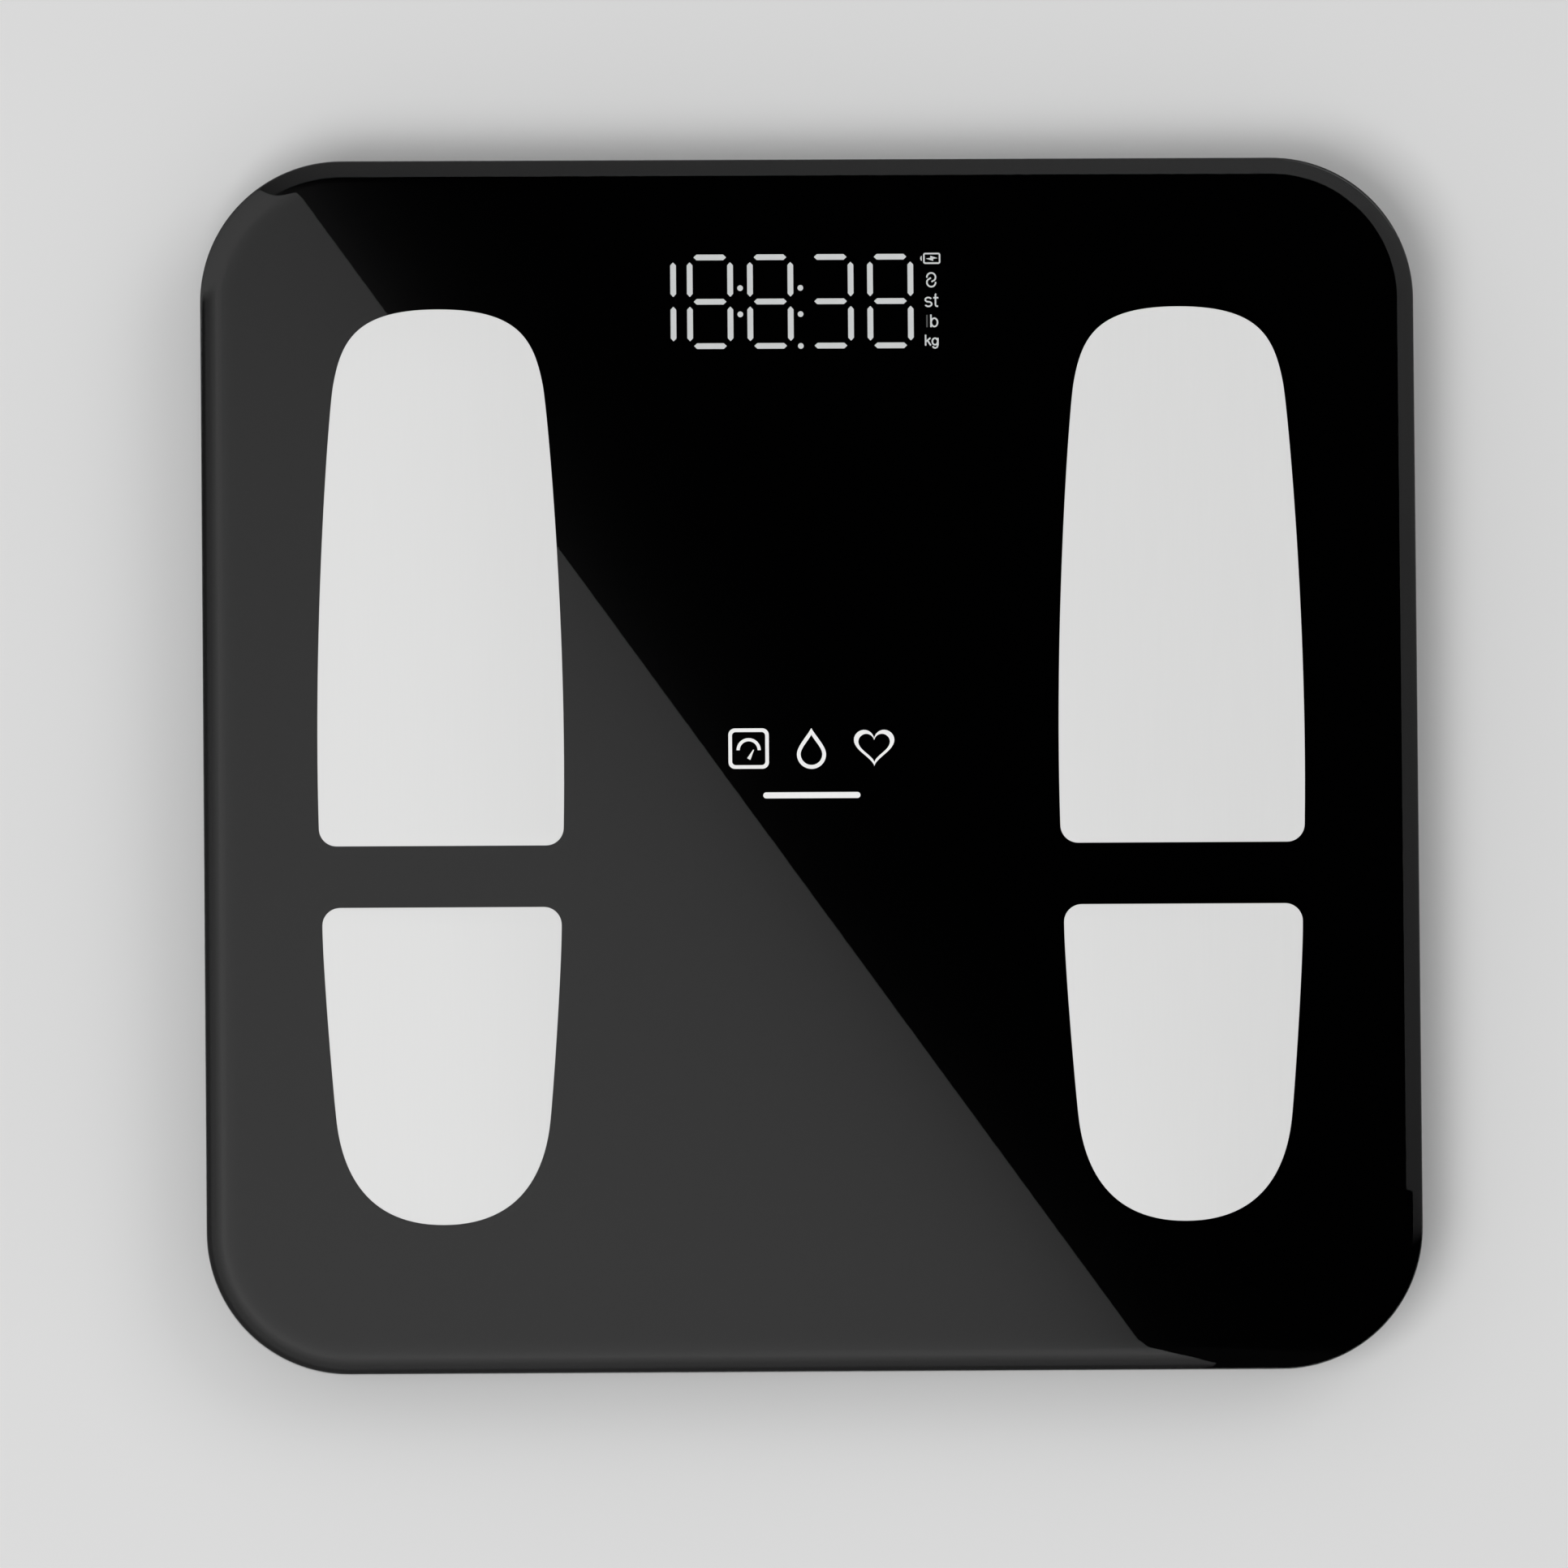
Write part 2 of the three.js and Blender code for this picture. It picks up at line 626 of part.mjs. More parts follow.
// A block between the load cell's frame and the glass, with a screw ear towards the middle.
function loadCellCarrier({ sx, sy }) {
  const outer = roundedOutline(CARRIER_HALF, CARRIER_HALF, 6, 3);
  const opening = roundedOutline(CARRIER_OPENING, CARRIER_OPENING, 2, 2);
  const ring = prism(outer, [CELL_TOP, GLASS_BOTTOM], [opening]);
  const earSpan = ordered(-sx * (CARRIER_HALF - 1), -sx * (CARRIER_HALF + EAR_REACH + 1));
  const ear = block(earSpan, [-EAR_HALF_WIDTH, EAR_HALF_WIDTH], [CELL_TOP, EAR_TOP]);
  const leadX = -sx * (CARRIER_HALF + CARRIER_OPENING) / 2;
  const leadY = -sy * LEAD_OFFSET;
  const wall = (CARRIER_HALF - CARRIER_OPENING) / 2 + 1;
  const notch = block(
    [leadX - wall, leadX + wall],
    [leadY - LEAD_NOTCH_HALF, leadY + LEAD_NOTCH_HALF],
    [CELL_TOP - 1, CELL_TOP + LEAD_NOTCH_HEIGHT],
  );
  const screwHole = disc(
    SCREW_CLEARANCE_RADIUS,
    [CELL_TOP - 1, EAR_TOP + 1],
    [-sx * EAR_SCREW, 0],
    SMALL_ROUND_SIDES,
  );
  return carve(ring, [ear], [notch, screwHole]);
}

// Pan-head screw, from its shank's lower end to a head that rests at the height `seat`.
function panScrew(shankEnd, seat) {
  return turned([
    [0, shankEnd],
    [SHANK_RADIUS / 2, shankEnd],
    [SHANK_RADIUS, shankEnd + SHANK_POINT],
    [SHANK_RADIUS, seat],
    [HEAD_RADIUS, seat],
    [HEAD_RADIUS, seat + HEAD_EDGE],
    [HEAD_RADIUS - 0.8, seat + HEAD_HEIGHT],
    [0, seat + HEAD_HEIGHT],
  ], SMALL_ROUND_SIDES);
}

// Circuit board, display and button

function mainBoard() {
  const outline = roundedOutline(...BOARD_HALF, 2, 2).map(({ x, y }) => {
    return new THREE.Vector2(x, BOARD_Y + y);
  });
  const holes = boardScrewPlaces().map((place) => {
    return disc(SCREW_CLEARANCE_RADIUS, [BOARD_BOTTOM - 1, BOARD_TOP + 1], place, SMALL_ROUND_SIDES);
  });
  return carve(prism(outline, [BOARD_BOTTOM, BOARD_TOP]), [], holes);
}

// One segment's light well: a long hexagon centred on [x, y].
function segmentWell([x, y], length, upright) {
  const half = length / 2;
  const side = SEGMENT_THICKNESS / 2;
  const hexagon = [
    [-half, 0], [side - half, -side], [half - side, -side],
    [half, 0], [half - side, side], [side - half, side],
  ];
  const outline = hexagon.map(([along, across]) => {
    return upright
      ? new THREE.Vector2(x - across, y + along)
      : new THREE.Vector2(x + along, y + across);
  });
  return prism(outline, [BOARD_TOP - 1, REFLECTOR_TOP + 1]);
}

// Wells of one digit whose left segments stand at x, for the named seven-segment letters.
function digitWells(x, letters) {
  const halfHeight = DIGIT_HEIGHT / 2;
  const middleX = x + DIGIT_WIDTH / 2;
  const rightX = x + DIGIT_WIDTH;
  const places = {
    a: [[middleX, DIGIT_Y + halfHeight], SEGMENT_ACROSS, false],
    b: [[rightX, DIGIT_Y + halfHeight / 2], SEGMENT_UP, true],
    c: [[rightX, DIGIT_Y - halfHeight / 2], SEGMENT_UP, true],
    d: [[middleX, DIGIT_Y - halfHeight], SEGMENT_ACROSS, false],
    e: [[x, DIGIT_Y - halfHeight / 2], SEGMENT_UP, true],
    f: [[x, DIGIT_Y + halfHeight / 2], SEGMENT_UP, true],
    g: [[middleX, DIGIT_Y], SEGMENT_ACROSS, false],
  };
  return [...letters].map((letter) => segmentWell(...places[letter]));
}

function displaySlab(heights) {
  return block(DISPLAY_X, [BOARD_Y - DISPLAY_HALF_Y, BOARD_Y + DISPLAY_HALF_Y], heights);
}

function displayReflector() {
  const through = [BOARD_TOP - 1, REFLECTOR_TOP + 1];
  const digits = [
    ...digitWells(-43.3, 'bc'),
    ...digitWells(-29.2, 'abcdefg'),
    ...digitWells(-14.3, 'abcdefg'),
    ...digitWells(0.6, 'abcdg'),
    ...digitWells(15.4, 'abcdefg'),
  ];
  const dots = [[-16.75, 118.2], [-16.75, 111.7], [-1.85, 118.2], [-1.85, 111.7], [-1.85, 103.8]];
  const dotWells = dots.map((place) => disc(DOT_RADIUS, through, place, 8));
  const iconWells = [125.5, 120.4, 115.2, 110, 105].map((y) => {
    return block(ICON_WELL_X, [y - ICON_WELL_HALF, y + ICON_WELL_HALF], through);
  });
  return carve(displaySlab([BOARD_TOP, REFLECTOR_TOP]), [], [...digits, ...dotWells, ...iconWells]);
}

function controllerChip() {
  return block(
    [-CHIP_HALF, CHIP_HALF],
    [BOARD_Y - CHIP_HALF, BOARD_Y + CHIP_HALF],
    [CHIP_BOTTOM, BOARD_BOTTOM],
  );
}

function boardConnector(side) {
  const [halfX, halfY] = CONNECTOR_HALF;
  return block(
    [side * CONNECTOR_X - halfX, side * CONNECTOR_X + halfX],
    [BOARD_Y - halfY, BOARD_Y + halfY],
    [BOARD_TOP, CONNECTOR_TOP],
  );
}

function unitButton() {
  const cap = turned([
    [0, BUTTON_BOTTOM],
    [BUTTON_RADIUS - BUTTON_CHAMFER, BUTTON_BOTTOM],
    [BUTTON_RADIUS, BUTTON_BOTTOM + BUTTON_CHAMFER],
    [BUTTON_RADIUS, FLANGE_BOTTOM],
    [BUTTON_RADIUS + BUTTON_LIP, FLANGE_BOTTOM],
    [BUTTON_RADIUS + BUTTON_LIP, FLANGE_BOTTOM + BUTTON_LIP_HEIGHT],
    [BUTTON_STEM_RADIUS, FLANGE_BOTTOM + BUTTON_LIP_HEIGHT],
    [BUTTON_STEM_RADIUS, SWITCH_BOTTOM - SWITCH_TRAVEL_GAP],
    [0, SWITCH_BOTTOM - SWITCH_TRAVEL_GAP],
  ]);
  return cap.translate(BUTTON[0], BUTTON[1], 0);
}

function unitSwitch() {
  const [x, y] = BUTTON;
  const body = block(
    [x - SWITCH_HALF, x + SWITCH_HALF],
    [y - SWITCH_HALF, y + SWITCH_HALF],
    [SWITCH_BOTTOM, BOARD_BOTTOM],
  );
  const hole = disc(PLUNGER_HOLE_RADIUS, [SWITCH_BOTTOM - 1, SWITCH_BOTTOM + 1.8], BUTTON, SMALL_ROUND_SIDES);
  return carve(body, [], [hole]);
}

function switchPlunger() {
  const height = [SWITCH_BOTTOM - SWITCH_TRAVEL_GAP, SWITCH_BOTTOM + 0.7];
  return disc(PLUNGER_RADIUS, height, BUTTON, SMALL_ROUND_SIDES);
}

// Battery door, cells and contacts

function batteryDoor() {
  const width = [-DOOR_HALF_WIDTH, DOOR_HALF_WIDTH];
  const plate = block(width, [DOOR_FRONT_Y, HINGE_Y], [BASE_BOTTOM, DOOR_TOP]);
  const barrel = rod(BARREL_RADIUS, width, [HINGE_Y, HINGE_Z]);
  const trunnionEnd = DOOR_HALF_WIDTH + TRUNNION_LENGTH;
  const trunnionSpan = [-trunnionEnd, trunnionEnd];
  const trunnions = rod(TRUNNION_RADIUS, trunnionSpan, [HINGE_Y, HINGE_Z], SMALL_ROUND_SIDES);
  const latchTab = block(
    [-LATCH_HALF_WIDTH, LATCH_HALF_WIDTH],
    [DOOR_FRONT_Y + 0.2, DOOR_FRONT_Y + 1.4],
    [DOOR_TOP - 0.5, LATCH_TOP],
  );
  const latchSlots = [-1, 1].map((side) => {
    const x = side * (LATCH_HALF_WIDTH + 0.8);
    const through = [BASE_BOTTOM - 1, DOOR_TOP + 1];
    return block([x - 0.5, x + 0.5], [DOOR_FRONT_Y - 1, DOOR_FRONT_Y + LATCH_SLOT_LENGTH], through);
  });
  const grip = [0, 1, 2, 3].map((row) => {
    const y = DOOR_FRONT_Y + 2 + GRIP_PITCH * row;
    const depth = [BASE_BOTTOM - 1, BASE_BOTTOM + 0.4];
    return block([-GRIP_HALF_WIDTH, GRIP_HALF_WIDTH], [y, y + GRIP_GROOVE], depth);
  });
  return carve(plate, [barrel, trunnions, latchTab], [...latchSlots, ...grip]);
}

// An AAA cell along X: `plus` is 1 where the nub points to +X.
function batteryCell(y, plus) {
  const end = COMPARTMENT_HALF[0] - CELL_END_GAP;
  const bottom = end - AAA_LENGTH;
  const top = end - NUB_LENGTH;
  const profile = [
    [0, bottom],
    [AAA_RADIUS - AAA_CRIMP, bottom],
    [AAA_RADIUS, bottom + AAA_CRIMP],
    [AAA_RADIUS, top - AAA_CRIMP],
    [AAA_RADIUS - AAA_CRIMP, top],
    [NUB_RADIUS, top],
    [NUB_RADIUS, end],
    [0, end],
  ];
  return turned(profile).rotateY(plus * Math.PI / 2).translate(0, y, AAA_Z);
}

// A contact for each [y, polarity] it touches, on the compartment's wall at `side`.
function batteryContact(side, touches) {
  const wall = side * COMPARTMENT_HALF[0];
  const ys = touches.map(([y]) => y);
  const span = (from, to) => ordered(wall - side * from, wall - side * to);
  const plate = block(
    span(0, CONTACT_THICKNESS),
    [Math.min(...ys) - CONTACT_HALF, Math.max(...ys) + CONTACT_HALF],
    [AAA_Z - CONTACT_HALF, AAA_Z + CONTACT_HALF],
  );
  const tips = touches.map(([y, polarity]) => {
    return polarity === 'plus'
      ? rod(PLUS_RADIUS, span(CONTACT_THICKNESS / 2, PLUS_REACH), [y, AAA_Z], SMALL_ROUND_SIDES)
      : contactSpring(wall, side, y);
  });
  const tabWidth = [ys[0] - TERMINAL_HALF_WIDTH, ys[0] + TERMINAL_HALF_WIDTH];
  const tabHeight = [TERMINAL_Z - CONTACT_THICKNESS / 2, TERMINAL_Z + CONTACT_THICKNESS / 2];
  const tab = touches.length > 1 ? [] : [block(span(CONTACT_THICKNESS, -4), tabWidth, tabHeight)];
  return carve(plate, [...tips, ...tab], []);
}

// A conical spring, from the contact plate towards the cell's flat end.
function contactSpring(wall, side, y) {
  const steps = SPRING.turns * SPRING.steps;
  const points = [];
  for (let step = 0; step <= steps; step++) {
    const share = step / steps;
    const angle = 2 * Math.PI * SPRING.turns * share;
    const radius = SPRING.root + (SPRING.tip - SPRING.root) * share;
    const x = wall - side * (CONTACT_THICKNESS + 0.1 + SPRING.length * share);
    points.push([x, y + radius * Math.cos(angle), AAA_Z + radius * Math.sin(angle)]);
  }
  return wire(points, SPRING.wire, steps, 5);
}

// Leads

function sensorLead({ sx, sy }) {
  const leadY = sy * (FOOT_XY - LEAD_OFFSET);
  const routes = {
    1: [[99, leadY, 12], [84, leadY, 12], [72, 106, 13], [60, 118, 15.4], [LEAD_END_X, 119.5, LEAD_END_Z]],
    [-1]: [
      [99, leadY, 12], [84, leadY, 12], [72, -90, 11.5], [68, -50, 11], [68, 40, 11], [64, 90, 12],
      [58, 108, 15.2], [LEAD_END_X, 110.5, LEAD_END_Z],
    ],
  };
  return wire(routes[sy].map(([x, y, z]) => [sx * x, y, z]), SENSOR_LEAD_RADIUS, sy > 0 ? 10 : 18);
}

function electrodeLead({ sx, sy }) {
  const startX = ELECTRODE_X - STUD_RADIUS - 0.4;
  const routes = {
    1: [
      [startX, TOE_ELECTRODE.studY, 17.9], [82, 48, 17.4], [76, 80, 17.2], [64, 112, 16.6],
      [LEAD_END_X, 116.5, LEAD_END_Z],
    ],
    [-1]: [
      [startX, HEEL_ELECTRODE.studY, 17.9], [80, -54, 16.5], [74, -30, 15], [74, 50, 15], [70, 92, 15.2],
      [61, 110, 15.6], [LEAD_END_X, 113.5, LEAD_END_Z],
    ],
  };
  return wire(routes[sy].map(([x, y, z]) => [sx * x, y, z]), ELECTRODE_LEAD_RADIUS, sy > 0 ? 10 : 18);
}

function batteryLead(side) {
  const start = [side * 29.8, COMPARTMENT_Y - side * CELL_PITCH, TERMINAL_Z];
  const middle = side > 0 ? [[35, 53, 14], [37, 78, 10]] : [[-35, 75, 14], [-37, 84, 10.5]];
  const end = [[side * 33, 92, 9.5], [side * 25, 99, 10], [side * 24, 100.5, BOARD_BOTTOM - 0.3]];
  return wire([start, ...middle, ...end], BATTERY_LEAD_RADIUS, 14);
}

// Assembly

piece('glass_platform', glassPlatform(), BLACK_GLASS);
for (const [side, x] of [['left', -ELECTRODE_X], ['right', ELECTRODE_X]]) {
  piece(`toe_electrode_${side}`, electrode(TOE_ELECTRODE, x), STEEL);
  piece(`heel_electrode_${side}`, electrode(HEEL_ELECTRODE, x), STEEL);
}
piece('glass_adhesive', adhesiveRing(), TAPE);
piece('base_housing', baseHousing(), BLACK_PLASTIC);

for (const corner of CORNERS) {
  const { name, sx, sy } = corner;
  const centre = [sx * FOOT_XY, sy * FOOT_XY, 0];
  piece(`foot_cup_${name}`, footCup().translate(...centre), GREY_PLASTIC);
  piece(`foot_pad_${name}`, footPad().translate(...centre), RUBBER);
  piece(`load_cell_${name}`, loadCell().translate(...centre), CELL_STEEL);
  piece(`load_cell_carrier_${name}`, loadCellCarrier(corner).translate(...centre), WHITE_PLASTIC);
  const carrierScrew = panScrew(SCREW_END, EAR_TOP).translate(...carrierScrewPlace(corner), 0);
  piece(`carrier_screw_${name}`, carrierScrew, SCREW_STEEL);
  piece(`sensor_lead_${name}`, sensorLead(corner), GREY_LEAD);
  piece(`electrode_lead_${name}`, electrodeLead(corner), BLACK_LEAD);
}

piece('main_board', mainBoard(), BOARD_GREEN);
piece('display_reflector', displayReflector(), WHITE_PLASTIC);
piece('display_filter', displaySlab([REFLECTOR_TOP, BASE_TOP]), SMOKED_FILM);
piece('controller_chip', controllerChip(), CHIP_BLACK);
piece('radio_module', block(RADIO.x, RADIO.y, [RADIO.bottom, BOARD_BOTTOM]), CELL_STEEL);
piece('board_connector_left', boardConnector(-1), WHITE_PLASTIC);
piece('board_connector_right', boardConnector(1), WHITE_PLASTIC);
boardScrewPlaces().forEach((place, i) => {
  const boardScrew = panScrew(SCREW_END, BOARD_TOP).translate(...place, 0);
  piece(`board_screw_${i + 1}`, boardScrew, SCREW_STEEL);
});
piece('unit_switch', unitSwitch(), CHIP_BLACK);
piece('switch_plunger', switchPlunger(), CHIP_BLACK);
piece('unit_button', unitButton(), GREY_PLASTIC);

const [lowY, midY, highY] = [-1, 0, 1].map((row) => COMPARTMENT_Y + row * CELL_PITCH);
piece('battery_door', batteryDoor(), BLACK_PLASTIC);
piece('battery_cell_1', batteryCell(highY, 1), CELL_JACKET);
piece('battery_cell_2', batteryCell(midY, -1), CELL_JACKET);
piece('battery_cell_3', batteryCell(lowY, 1), CELL_JACKET);
piece('battery_contact_negative', batteryContact(-1, [[highY, 'minus']]), NICKEL);
piece('battery_contact_positive', batteryContact(1, [[lowY, 'plus']]), NICKEL);
piece('battery_bridge_right', batteryContact(1, [[highY, 'plus'], [midY, 'minus']]), NICKEL);
piece('battery_bridge_left', batteryContact(-1, [[midY, 'plus'], [lowY, 'minus']]), NICKEL);
piece('battery_lead_negative', batteryLead(-1), BLACK_LEAD);
piece('battery_lead_positive', batteryLead(1), RED_LEAD);

export default scale;
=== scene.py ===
"""Looks for the glass-topped bathroom scale. Lengths are millimetres unless a comment says otherwise."""
import json
import math

import bpy
import bmesh
from mathutils import Matrix, Vector


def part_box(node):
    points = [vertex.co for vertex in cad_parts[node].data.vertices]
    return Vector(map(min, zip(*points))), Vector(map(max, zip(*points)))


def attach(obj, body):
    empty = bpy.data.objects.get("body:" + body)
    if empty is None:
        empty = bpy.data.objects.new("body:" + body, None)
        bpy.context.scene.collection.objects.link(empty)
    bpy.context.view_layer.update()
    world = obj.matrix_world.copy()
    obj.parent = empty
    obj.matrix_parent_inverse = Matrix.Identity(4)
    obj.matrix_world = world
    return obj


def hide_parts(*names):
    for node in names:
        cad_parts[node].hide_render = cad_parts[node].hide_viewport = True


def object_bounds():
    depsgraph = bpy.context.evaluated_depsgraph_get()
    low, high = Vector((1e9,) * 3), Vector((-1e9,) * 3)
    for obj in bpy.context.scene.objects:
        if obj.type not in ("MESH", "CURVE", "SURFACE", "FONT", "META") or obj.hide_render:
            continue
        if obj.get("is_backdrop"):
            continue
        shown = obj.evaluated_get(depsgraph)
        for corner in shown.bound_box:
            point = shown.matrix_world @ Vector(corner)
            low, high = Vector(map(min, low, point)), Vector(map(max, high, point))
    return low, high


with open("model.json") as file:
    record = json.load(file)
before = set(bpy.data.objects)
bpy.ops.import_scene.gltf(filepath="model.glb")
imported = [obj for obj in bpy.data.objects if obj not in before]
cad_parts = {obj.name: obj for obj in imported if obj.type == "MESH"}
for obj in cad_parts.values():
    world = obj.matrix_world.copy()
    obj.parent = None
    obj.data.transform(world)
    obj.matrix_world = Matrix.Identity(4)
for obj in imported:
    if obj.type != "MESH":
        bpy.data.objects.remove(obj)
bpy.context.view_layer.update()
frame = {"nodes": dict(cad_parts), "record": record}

MM = 0.001
NODES = frame["nodes"]
SLOT_OF = {}
for part in frame["record"]["subparts"]:
    SLOT_OF[part["node"]] = part["material_slot"]


def corners(node):
    """Lowest and highest corner of a CAD node, in millimetres."""
    return tuple(tuple(value / MM for value in corner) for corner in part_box(node))


def middle(node):
    low, high = corners(node)
    return tuple((a + b) / 2 for a, b in zip(low, high))


# Materials

NOISE_LOW, NOISE_HIGH = 0.3, 0.7


class Shader:
    """A node material built round one Principled shader, in object coordinates."""

    def __init__(self, name):
        self.material = bpy.data.materials.new(name)
        self.material.use_nodes = True
        self.tree = self.material.node_tree
        self.principled = self.tree.nodes["Principled BSDF"]
        self.coords = self.add("ShaderNodeTexCoord").outputs["Object"]

    def add(self, kind, **settings):
        node = self.tree.nodes.new(kind)
        for key, value in settings.items():
            setattr(node, key, value)
        return node

    def link(self, source, target):
        self.tree.links.new(source, target)

    def stretched(self, scale):
        mapping = self.add("ShaderNodeMapping")
        mapping.inputs["Scale"].default_value = scale
        self.link(self.coords, mapping.inputs["Vector"])
        return mapping.outputs["Vector"]

    def noise(self, scale, detail=3.0, stretch=None):
        node = self.add("ShaderNodeTexNoise")
        node.inputs["Scale"].default_value = scale
        node.inputs["Detail"].default_value = detail
        self.link(self.stretched(stretch) if stretch else self.coords, node.inputs["Vector"])
        return node.outputs["Fac"]

    def colour(self, factor, dark, light, target="Base Color"):
        ramp = self.add("ShaderNodeValToRGB")
        for stop, place, colour in zip(ramp.color_ramp.elements, (NOISE_LOW, NOISE_HIGH), (dark, light)):
            stop.position = place
            stop.color = (*colour, 1)
        self.link(factor, ramp.inputs["Fac"])
        self.link(ramp.outputs["Color"], self.principled.inputs[target])

    def roughness(self, factor, low, high):
        span = self.add("ShaderNodeMapRange")
        span.inputs["From Min"].default_value = NOISE_LOW
        span.inputs["From Max"].default_value = NOISE_HIGH
        span.inputs["To Min"].default_value = low
        span.inputs["To Max"].default_value = high
        self.link(factor, span.inputs["Value"])
        self.link(span.outputs["Result"], self.principled.inputs["Roughness"])

    def bump(self, height, depth, strength=1.0):
        node = self.add("ShaderNodeBump")
        node.inputs["Distance"].default_value = depth * MM
        node.inputs["Strength"].default_value = strength
        self.link(height, node.inputs["Height"])
        self.link(node.outputs["Normal"], self.principled.inputs["Normal"])

    def set(self, **values):
        for key, value in values.items():
            self.principled.inputs[key.replace("_", " ")].default_value = value
        return self


def shades(colour, spread):
    return [tuple(channel * (1 + sign * spread) for channel in colour) for sign in (-1, 1)]


def moulded(name, colour, rough, grain=2600, depth=0.03, spread=0.12):
    """Injection-moulded plastic or rubber: spark-eroded grain with slow colour drift."""
    shader = Shader(name)
    shader.colour(shader.noise(90), *shades(colour, spread))
    shader.roughness(shader.noise(grain / 3), *rough)
    shader.bump(shader.noise(grain, 2), depth)
    return shader


def drawn_metal(name, colour, rough, stretch=(1, 30, 1), scale=160, depth=0.004, spread=0.06):
    """Metal with a brushed or rolled direction."""
    shader = Shader(name)
    lines = shader.noise(scale, 4, stretch)
    shader.colour(lines, *shades(colour, spread))
    shader.roughness(lines, *rough)
    shader.bump(lines, depth)
    return shader.set(Metallic=1.0)


def glass_material():
    shader = Shader("platform_glass")
    shader.set(Base_Color=(0.93, 0.97, 0.96, 1), Roughness=0.0, IOR=1.52, Transmission_Weight=1.0)
    shader.bump(shader.noise(14, 1), 0.0006)
    return shader.material


def ink_material():
    shader = Shader("black_print")
    shader.colour(shader.noise(500), (0.0004, 0.0004, 0.0005), (0.0007, 0.0007, 0.0008))
    return shader.set(Roughness=1.0, Specular_IOR_Level=0.0).material


def lit_material(name, level):
    """A lit display area: even, with the faint unevenness of a diffuser over its LED."""
    shader = Shader(name)
    shader.set(Base_Color=(0.02, 0.02, 0.02, 1), Roughness=0.9, Specular_IOR_Level=0.0)
    shader.colour(shader.noise(260), (0.96, 0.965, 0.97), (1, 1, 1), "Emission Color")
    return shader.set(Emission_Strength=level).material


def electrode_material():
    shader = Shader("electrode_steel")
    brushed = shader.noise(2600, 3, (1, 0.02, 1))
    shader.colour(brushed, (0.692, 0.692, 0.689), (0.7, 0.7, 0.697))
    shader.roughness(brushed, 0.5, 0.56)
    shader.bump(brushed, 0.0004, 0.4)
    return shader.set(Metallic=0.15).material


def enamel_material():
    shader = Shader("white_enamel")
    shader.colour(shader.noise(900), (0.74, 0.74, 0.735), (0.77, 0.77, 0.765))
    shader.roughness(shader.noise(1500), 0.45, 0.6)
    return shader.material


def board_material():
    shader = Shader("board_green")
    tracks = shader.noise(420, 2, (1, 0.25, 1))
    shader.colour(tracks, (0.012, 0.09, 0.035), (0.03, 0.15, 0.06))
    shader.roughness(shader.noise(900), 0.3, 0.45)
    shader.bump(tracks, 0.02)
    return shader.material


GREY = (0.42, 0.43, 0.44)
MATERIALS = {
    "black_glass": glass_material(),
    "electrode_steel": electrode_material(),
    "adhesive_foam": moulded("adhesive_foam", (0.012, 0.012, 0.012), (0.85, 1), 1200, 0.06).material,
    "black_plastic": moulded("black_plastic", (0.013, 0.013, 0.014), (0.5, 0.68)).material,
    "grey_plastic": moulded("grey_plastic", (0.05, 0.05, 0.054), (0.45, 0.6), 3000, 0.02).material,
    "rubber": moulded("rubber", (0.022, 0.022, 0.022), (0.78, 0.95), 1800, 0.04).material,
    "cell_steel": drawn_metal("cell_steel", GREY, (0.32, 0.45)).material,
    "white_plastic": moulded("white_plastic", (0.72, 0.72, 0.69), (0.42, 0.55), 2800, 0.01, 0.03).material,
    "screw_steel": drawn_metal("screw_steel", (0.55, 0.56, 0.58), (0.22, 0.34)).material,
    "grey_lead": moulded("grey_lead", (0.2, 0.2, 0.2), (0.4, 0.5), 900, 0.01, 0.08).material,
    "black_lead": moulded("black_lead", (0.015, 0.015, 0.015), (0.38, 0.5), 900, 0.01).material,
    "red_lead": moulded("red_lead", (0.42, 0.02, 0.02), (0.38, 0.5), 900, 0.01, 0.08).material,
    "board_green": board_material(),
    "display_white": moulded("display_white", (0.75, 0.75, 0.73), (0.5, 0.65), 2800, 0.01, 0.03).material,
    "smoked_film": moulded("smoked_film", (0.006, 0.006, 0.007), (0.12, 0.2), 600, 0.002).material,
    "chip_black": moulded("chip_black", (0.012, 0.012, 0.012), (0.42, 0.55), 4000, 0.01).material,
    "cell_jacket": moulded("cell_jacket", (0.03, 0.075, 0.2), (0.2, 0.3), 300, 0.003, 0.06).material,
    "contact_nickel": drawn_metal("contact_nickel", (0.62, 0.6, 0.55), (0.2, 0.32), (1, 1, 1), 500).material,
}
LABEL_FILM = moulded("label_film", (0.36, 0.365, 0.37), (0.34, 0.42), 700, 0.004, 0.03).material
LABEL_INK = moulded("label_ink", (0.05, 0.05, 0.052), (0.5, 0.6), 700, 0.002).material
SLEEVE_SILVER = drawn_metal("sleeve_silver", (0.5, 0.51, 0.53), (0.24, 0.34), (1, 1, 1), 500, 0.001).material
INK = ink_material()
ENAMEL = enamel_material()
LIT = lit_material("display_lit", 0.62)
DIM = lit_material("display_dim", 0.075)


# Mesh builders


def add_object(name, mesh, materials, body, smooth=30.0):
    """Adds a piece to a body. Edges under smooth degrees are shaded as round, and none are at 0."""
    for material in materials:
        mesh.materials.append(material)
    if smooth:
        mesh.shade_smooth()
        mesh.set_sharp_from_angle(angle=math.radians(smooth))
    piece = bpy.data.objects.new(name, mesh)
    bpy.context.scene.collection.objects.link(piece)
    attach(piece, body)
    return piece


def mesh_of(name, points, faces):
    mesh = bpy.data.meshes.new(name)
    mesh.from_pydata([tuple(c * MM for c in p) for p in points], [], faces)
    mesh.update()
    return mesh


